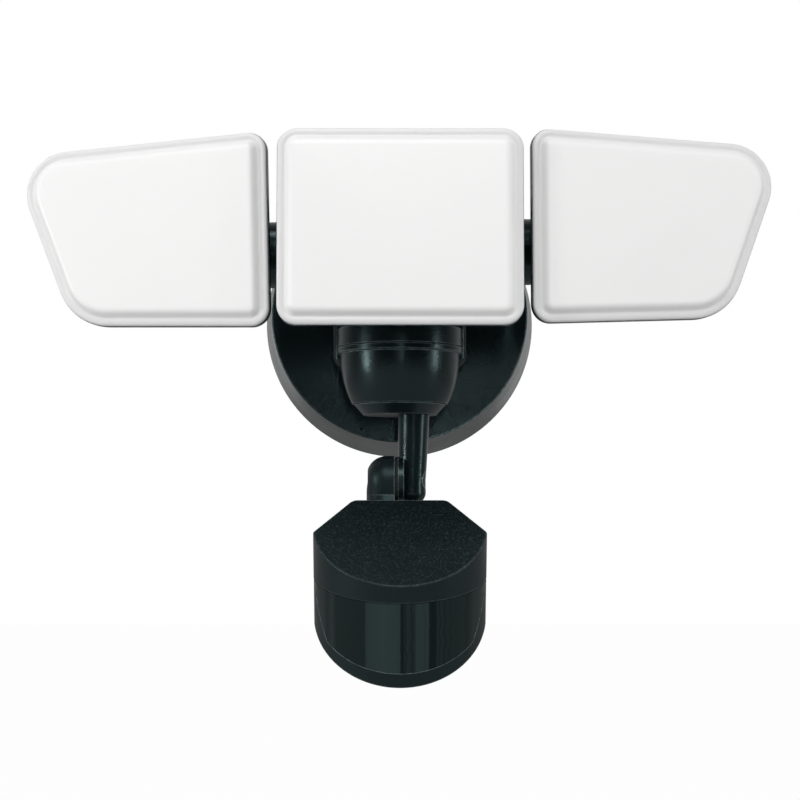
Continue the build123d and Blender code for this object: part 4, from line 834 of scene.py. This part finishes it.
def grip_ring_tree():
    """Repeats one rib round a circle, each turned to face outwards."""
    tree = bpy.data.node_groups.new("grip_ring", "GeometryNodeTree")
    tree.interface.new_socket("Rib", in_out="INPUT", socket_type="NodeSocketGeometry")
    for label, kind, value in (
        ("Count", "NodeSocketInt", 24), ("Radius", "NodeSocketFloat", 0.0052),
    ):
        socket = tree.interface.new_socket(label, in_out="INPUT", socket_type=kind)
        socket.default_value = value
    tree.interface.new_socket("Rib Material", in_out="INPUT", socket_type="NodeSocketMaterial")
    tree.interface.new_socket("Ribs", in_out="OUTPUT", socket_type="NodeSocketGeometry")
    start = tree.nodes.new("NodeGroupInput")
    end = tree.nodes.new("NodeGroupOutput")
    circle = tree.nodes.new("GeometryNodeCurvePrimitiveCircle")
    tree.links.new(start.outputs["Count"], circle.inputs["Resolution"])
    tree.links.new(start.outputs["Radius"], circle.inputs["Radius"])
    number = tree.nodes.new("GeometryNodeInputIndex")
    share = tree.nodes.new("ShaderNodeMath")
    share.operation = "DIVIDE"
    tree.links.new(number.outputs[0], share.inputs[0])
    tree.links.new(start.outputs["Count"], share.inputs[1])
    turn = tree.nodes.new("ShaderNodeMath")
    turn.operation = "MULTIPLY"
    turn.inputs[1].default_value = 2 * math.pi
    tree.links.new(share.outputs[0], turn.inputs[0])
    facing = tree.nodes.new("ShaderNodeCombineXYZ")
    tree.links.new(turn.outputs[0], facing.inputs["Z"])
    repeat = tree.nodes.new("GeometryNodeInstanceOnPoints")
    tree.links.new(circle.outputs["Curve"], repeat.inputs["Points"])
    tree.links.new(start.outputs["Rib"], repeat.inputs["Instance"])
    tree.links.new(facing.outputs[0], repeat.inputs["Rotation"])
    real = tree.nodes.new("GeometryNodeRealizeInstances")
    tree.links.new(repeat.outputs["Instances"], real.inputs["Geometry"])
    finish = tree.nodes.new("GeometryNodeSetMaterial")
    tree.links.new(real.outputs["Geometry"], finish.inputs["Geometry"])
    tree.links.new(start.outputs["Rib Material"], finish.inputs["Material"])
    tree.links.new(finish.outputs["Geometry"], end.inputs["Ribs"])
    return tree


rib_mesh = bpy.data.meshes.new("dial_rib")
rib_shape = bmesh.new()
rib_ends = []
for height in (-0.00045, 0.00045):
    rib_ends.append(
        [
            rib_shape.verts.new((-0.0002 + 0.0004 * math.cos(a), 0.00028 * math.sin(a), height))
            for a in (-1.57, -0.9, -0.3, 0.3, 0.9, 1.57)
        ]
    )
low, high = rib_ends
for k in range(6):
    rib_shape.faces.new((low[k], low[(k + 1) % 6], high[(k + 1) % 6], high[k]))
rib_shape.faces.new(list(reversed(low)))
rib_shape.faces.new(high)
rib_shape.to_mesh(rib_mesh)
rib_shape.free()

grip_ring = grip_ring_tree()
dial_normal = Vector((0, 0.692987, -0.72095))
dial_side = Vector((1, 0, 0))
dial_radius, dial_rib_count = 0.0052, 24
for name, across in (("range_dial", -0.0075), ("time_dial", 0.0075)):
    middle = Vector((across, -0.100673, -0.13974)) - dial_normal * 0.0008
    turn = Matrix((dial_side, dial_normal.cross(dial_side), dial_normal)).transposed()
    grip = grown(
        f"{name}_grip", grip_ring, rib_mesh, Matrix.Translation(middle) @ turn.to_4x4(),
        count=dial_rib_count, radius=dial_radius, rib_material=dial_plastic,
    )
    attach(grip, name)

# ---- Boards --------------------------------------------------------------------------
# Fibreglass boards under green solder mask in the driver and the sensor, and
# aluminium-backed lamp boards under white solder mask.
solder_mask = grained(
    "green_solder_mask", (0.012, 0.085, 0.035), (0.03, 0.15, 0.06), 0.32, 1.4, 0.02, patch=3.0,
    sharpness=1.0,
)
paint(solder_mask, "driver_board", "sensor_board", "dial_board")
white_mask = grained(
    "white_solder_mask", (0.72, 0.73, 0.72), (0.82, 0.83, 0.82), 0.3, 1.2, 0.01, patch=4.0,
)
paint(white_mask, "centre_led_board", "left_led_board", "right_led_board")

# ---- LED packages --------------------------------------------------------------------
# White ceramic packages, each with a domed yellow phosphor window, set by machine in a
# square grid on every lamp board.
phosphor = grained(
    "led_phosphor", (0.72, 0.56, 0.12), (0.86, 0.72, 0.26), 0.35, 0.5, 0.02, patch=1.5,
)
ceramic = grained("led_ceramic", (0.74, 0.74, 0.71), (0.84, 0.84, 0.81), 0.5, 0.3, 0.01, patch=2.0)


def package_grid_tree():
    """Repeats one LED package over a grid of points."""
    tree = bpy.data.node_groups.new("package_grid", "GeometryNodeTree")
    tree.interface.new_socket("Package", in_out="INPUT", socket_type="NodeSocketGeometry")
    for label, kind, value in (
        ("Columns", "NodeSocketInt", 8), ("Rows", "NodeSocketInt", 6),
        ("Pitch", "NodeSocketFloat", 0.0097),
    ):
        socket = tree.interface.new_socket(label, in_out="INPUT", socket_type=kind)
        socket.default_value = value
    for label in ("Window Material", "Body Material"):
        tree.interface.new_socket(label, in_out="INPUT", socket_type="NodeSocketMaterial")
    tree.interface.new_socket("Packages", in_out="OUTPUT", socket_type="NodeSocketGeometry")
    start = tree.nodes.new("NodeGroupInput")
    end = tree.nodes.new("NodeGroupOutput")
    grid = tree.nodes.new("GeometryNodeMeshGrid")
    for label, size, count in (
        ("Columns", "Size X", "Vertices X"), ("Rows", "Size Y", "Vertices Y"),
    ):
        gaps = tree.nodes.new("ShaderNodeMath")
        gaps.operation = "SUBTRACT"
        gaps.inputs[1].default_value = 1.0
        span = tree.nodes.new("ShaderNodeMath")
        span.operation = "MULTIPLY"
        tree.links.new(start.outputs[label], gaps.inputs[0])
        tree.links.new(gaps.outputs[0], span.inputs[0])
        tree.links.new(start.outputs["Pitch"], span.inputs[1])
        tree.links.new(span.outputs[0], grid.inputs[size])
        tree.links.new(start.outputs[label], grid.inputs[count])
    repeat = tree.nodes.new("GeometryNodeInstanceOnPoints")
    tree.links.new(grid.outputs["Mesh"], repeat.inputs["Points"])
    tree.links.new(start.outputs["Package"], repeat.inputs["Instance"])
    real = tree.nodes.new("GeometryNodeRealizeInstances")
    tree.links.new(repeat.outputs["Instances"], real.inputs["Geometry"])
    window_faces = tree.nodes.new("GeometryNodeInputNamedAttribute")
    window_faces.data_type = "BOOLEAN"
    window_faces.inputs["Name"].default_value = "window_face"
    body = tree.nodes.new("GeometryNodeSetMaterial")
    tree.links.new(real.outputs["Geometry"], body.inputs["Geometry"])
    tree.links.new(start.outputs["Body Material"], body.inputs["Material"])
    window_set = tree.nodes.new("GeometryNodeSetMaterial")
    tree.links.new(body.outputs["Geometry"], window_set.inputs["Geometry"])
    tree.links.new(window_faces.outputs["Attribute"], window_set.inputs["Selection"])
    tree.links.new(start.outputs["Window Material"], window_set.inputs["Material"])
    tree.links.new(window_set.outputs["Geometry"], end.inputs["Packages"])
    return tree


package_mesh = bpy.data.meshes.new("led_package")
package_shape = bmesh.new()
package_half = 0.00139
package_rings = (
    (package_half, -0.0004, 6.0), (package_half, 0.00026, 6.0),
    (package_half - 0.00012, 0.00038, 6.0),
    (0.00108, 0.00038, 2.0), (0.00100, 0.00026, 2.0), (0.00085, 0.00030, 2.0),
    (0.00045, 0.00036, 2.0),
)
ring_points, first_phosphor_row = 16, 4
rings = []
for reach, height, squareness in package_rings:
    ring = []
    for k in range(ring_points):
        turn = 2 * math.pi * (k + 0.5) / ring_points
        c, d = math.cos(turn), math.sin(turn)
        size = reach / (abs(c) ** squareness + abs(d) ** squareness) ** (1 / squareness)
        ring.append(package_shape.verts.new((c * size, d * size, height)))
    rings.append(ring)
phosphor_rows = set()
for row, (low, high) in enumerate(zip(rings, rings[1:])):
    for k in range(ring_points):
        after = (k + 1) % ring_points
        face = package_shape.faces.new((low[k], low[after], high[after], high[k]))
        if row >= first_phosphor_row:
            phosphor_rows.add(face)
phosphor_rows.add(package_shape.faces.new(rings[-1]))
package_shape.faces.new(list(reversed(rings[0])))
window_layer = package_shape.faces.layers.bool.new("window_face")
for face in package_shape.faces:
    face[window_layer] = face in phosphor_rows
package_shape.to_mesh(package_mesh)
package_shape.free()

package_grid = package_grid_tree()
package_rows, package_pitch = 6, 0.0097
for name, columns in (("centre", 8), ("left", 6), ("right", 6)):
    board_chips = nodes[f"{name}_leds"].data.vertices
    middle = sum((vert.co for vert in board_chips), Vector()) / len(board_chips)
    right, up, front = head_axes[name]
    place = Matrix.Translation(middle) @ Matrix((right, up, front)).transposed().to_4x4()
    packages = grown(
        f"{name}_packages", package_grid, package_mesh, place, columns=columns,
        rows=package_rows, pitch=package_pitch, window_material=phosphor, body_material=ceramic,
    )
    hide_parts(f"{name}_leds")
    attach(packages, f"{name}_head")

# ---- Detector cans and photocell -----------------------------------------------------
# Plated steel cans, their dark windows not coloured apart, and the brown face of the photocell.
plated_can = grained(
    "plated_can", (0.58, 0.58, 0.56), (0.72, 0.72, 0.7), 0.22, 0.3, 0.004, metallic=1.0, patch=4.0,
)
paint(plated_can, "motion_detectors")
photocell_face = grained(
    "photocell_face", (0.42, 0.17, 0.08), (0.62, 0.30, 0.15), 0.3, 0.5, 0.02, patch=1.0,
)
paint(photocell_face, "photocell")
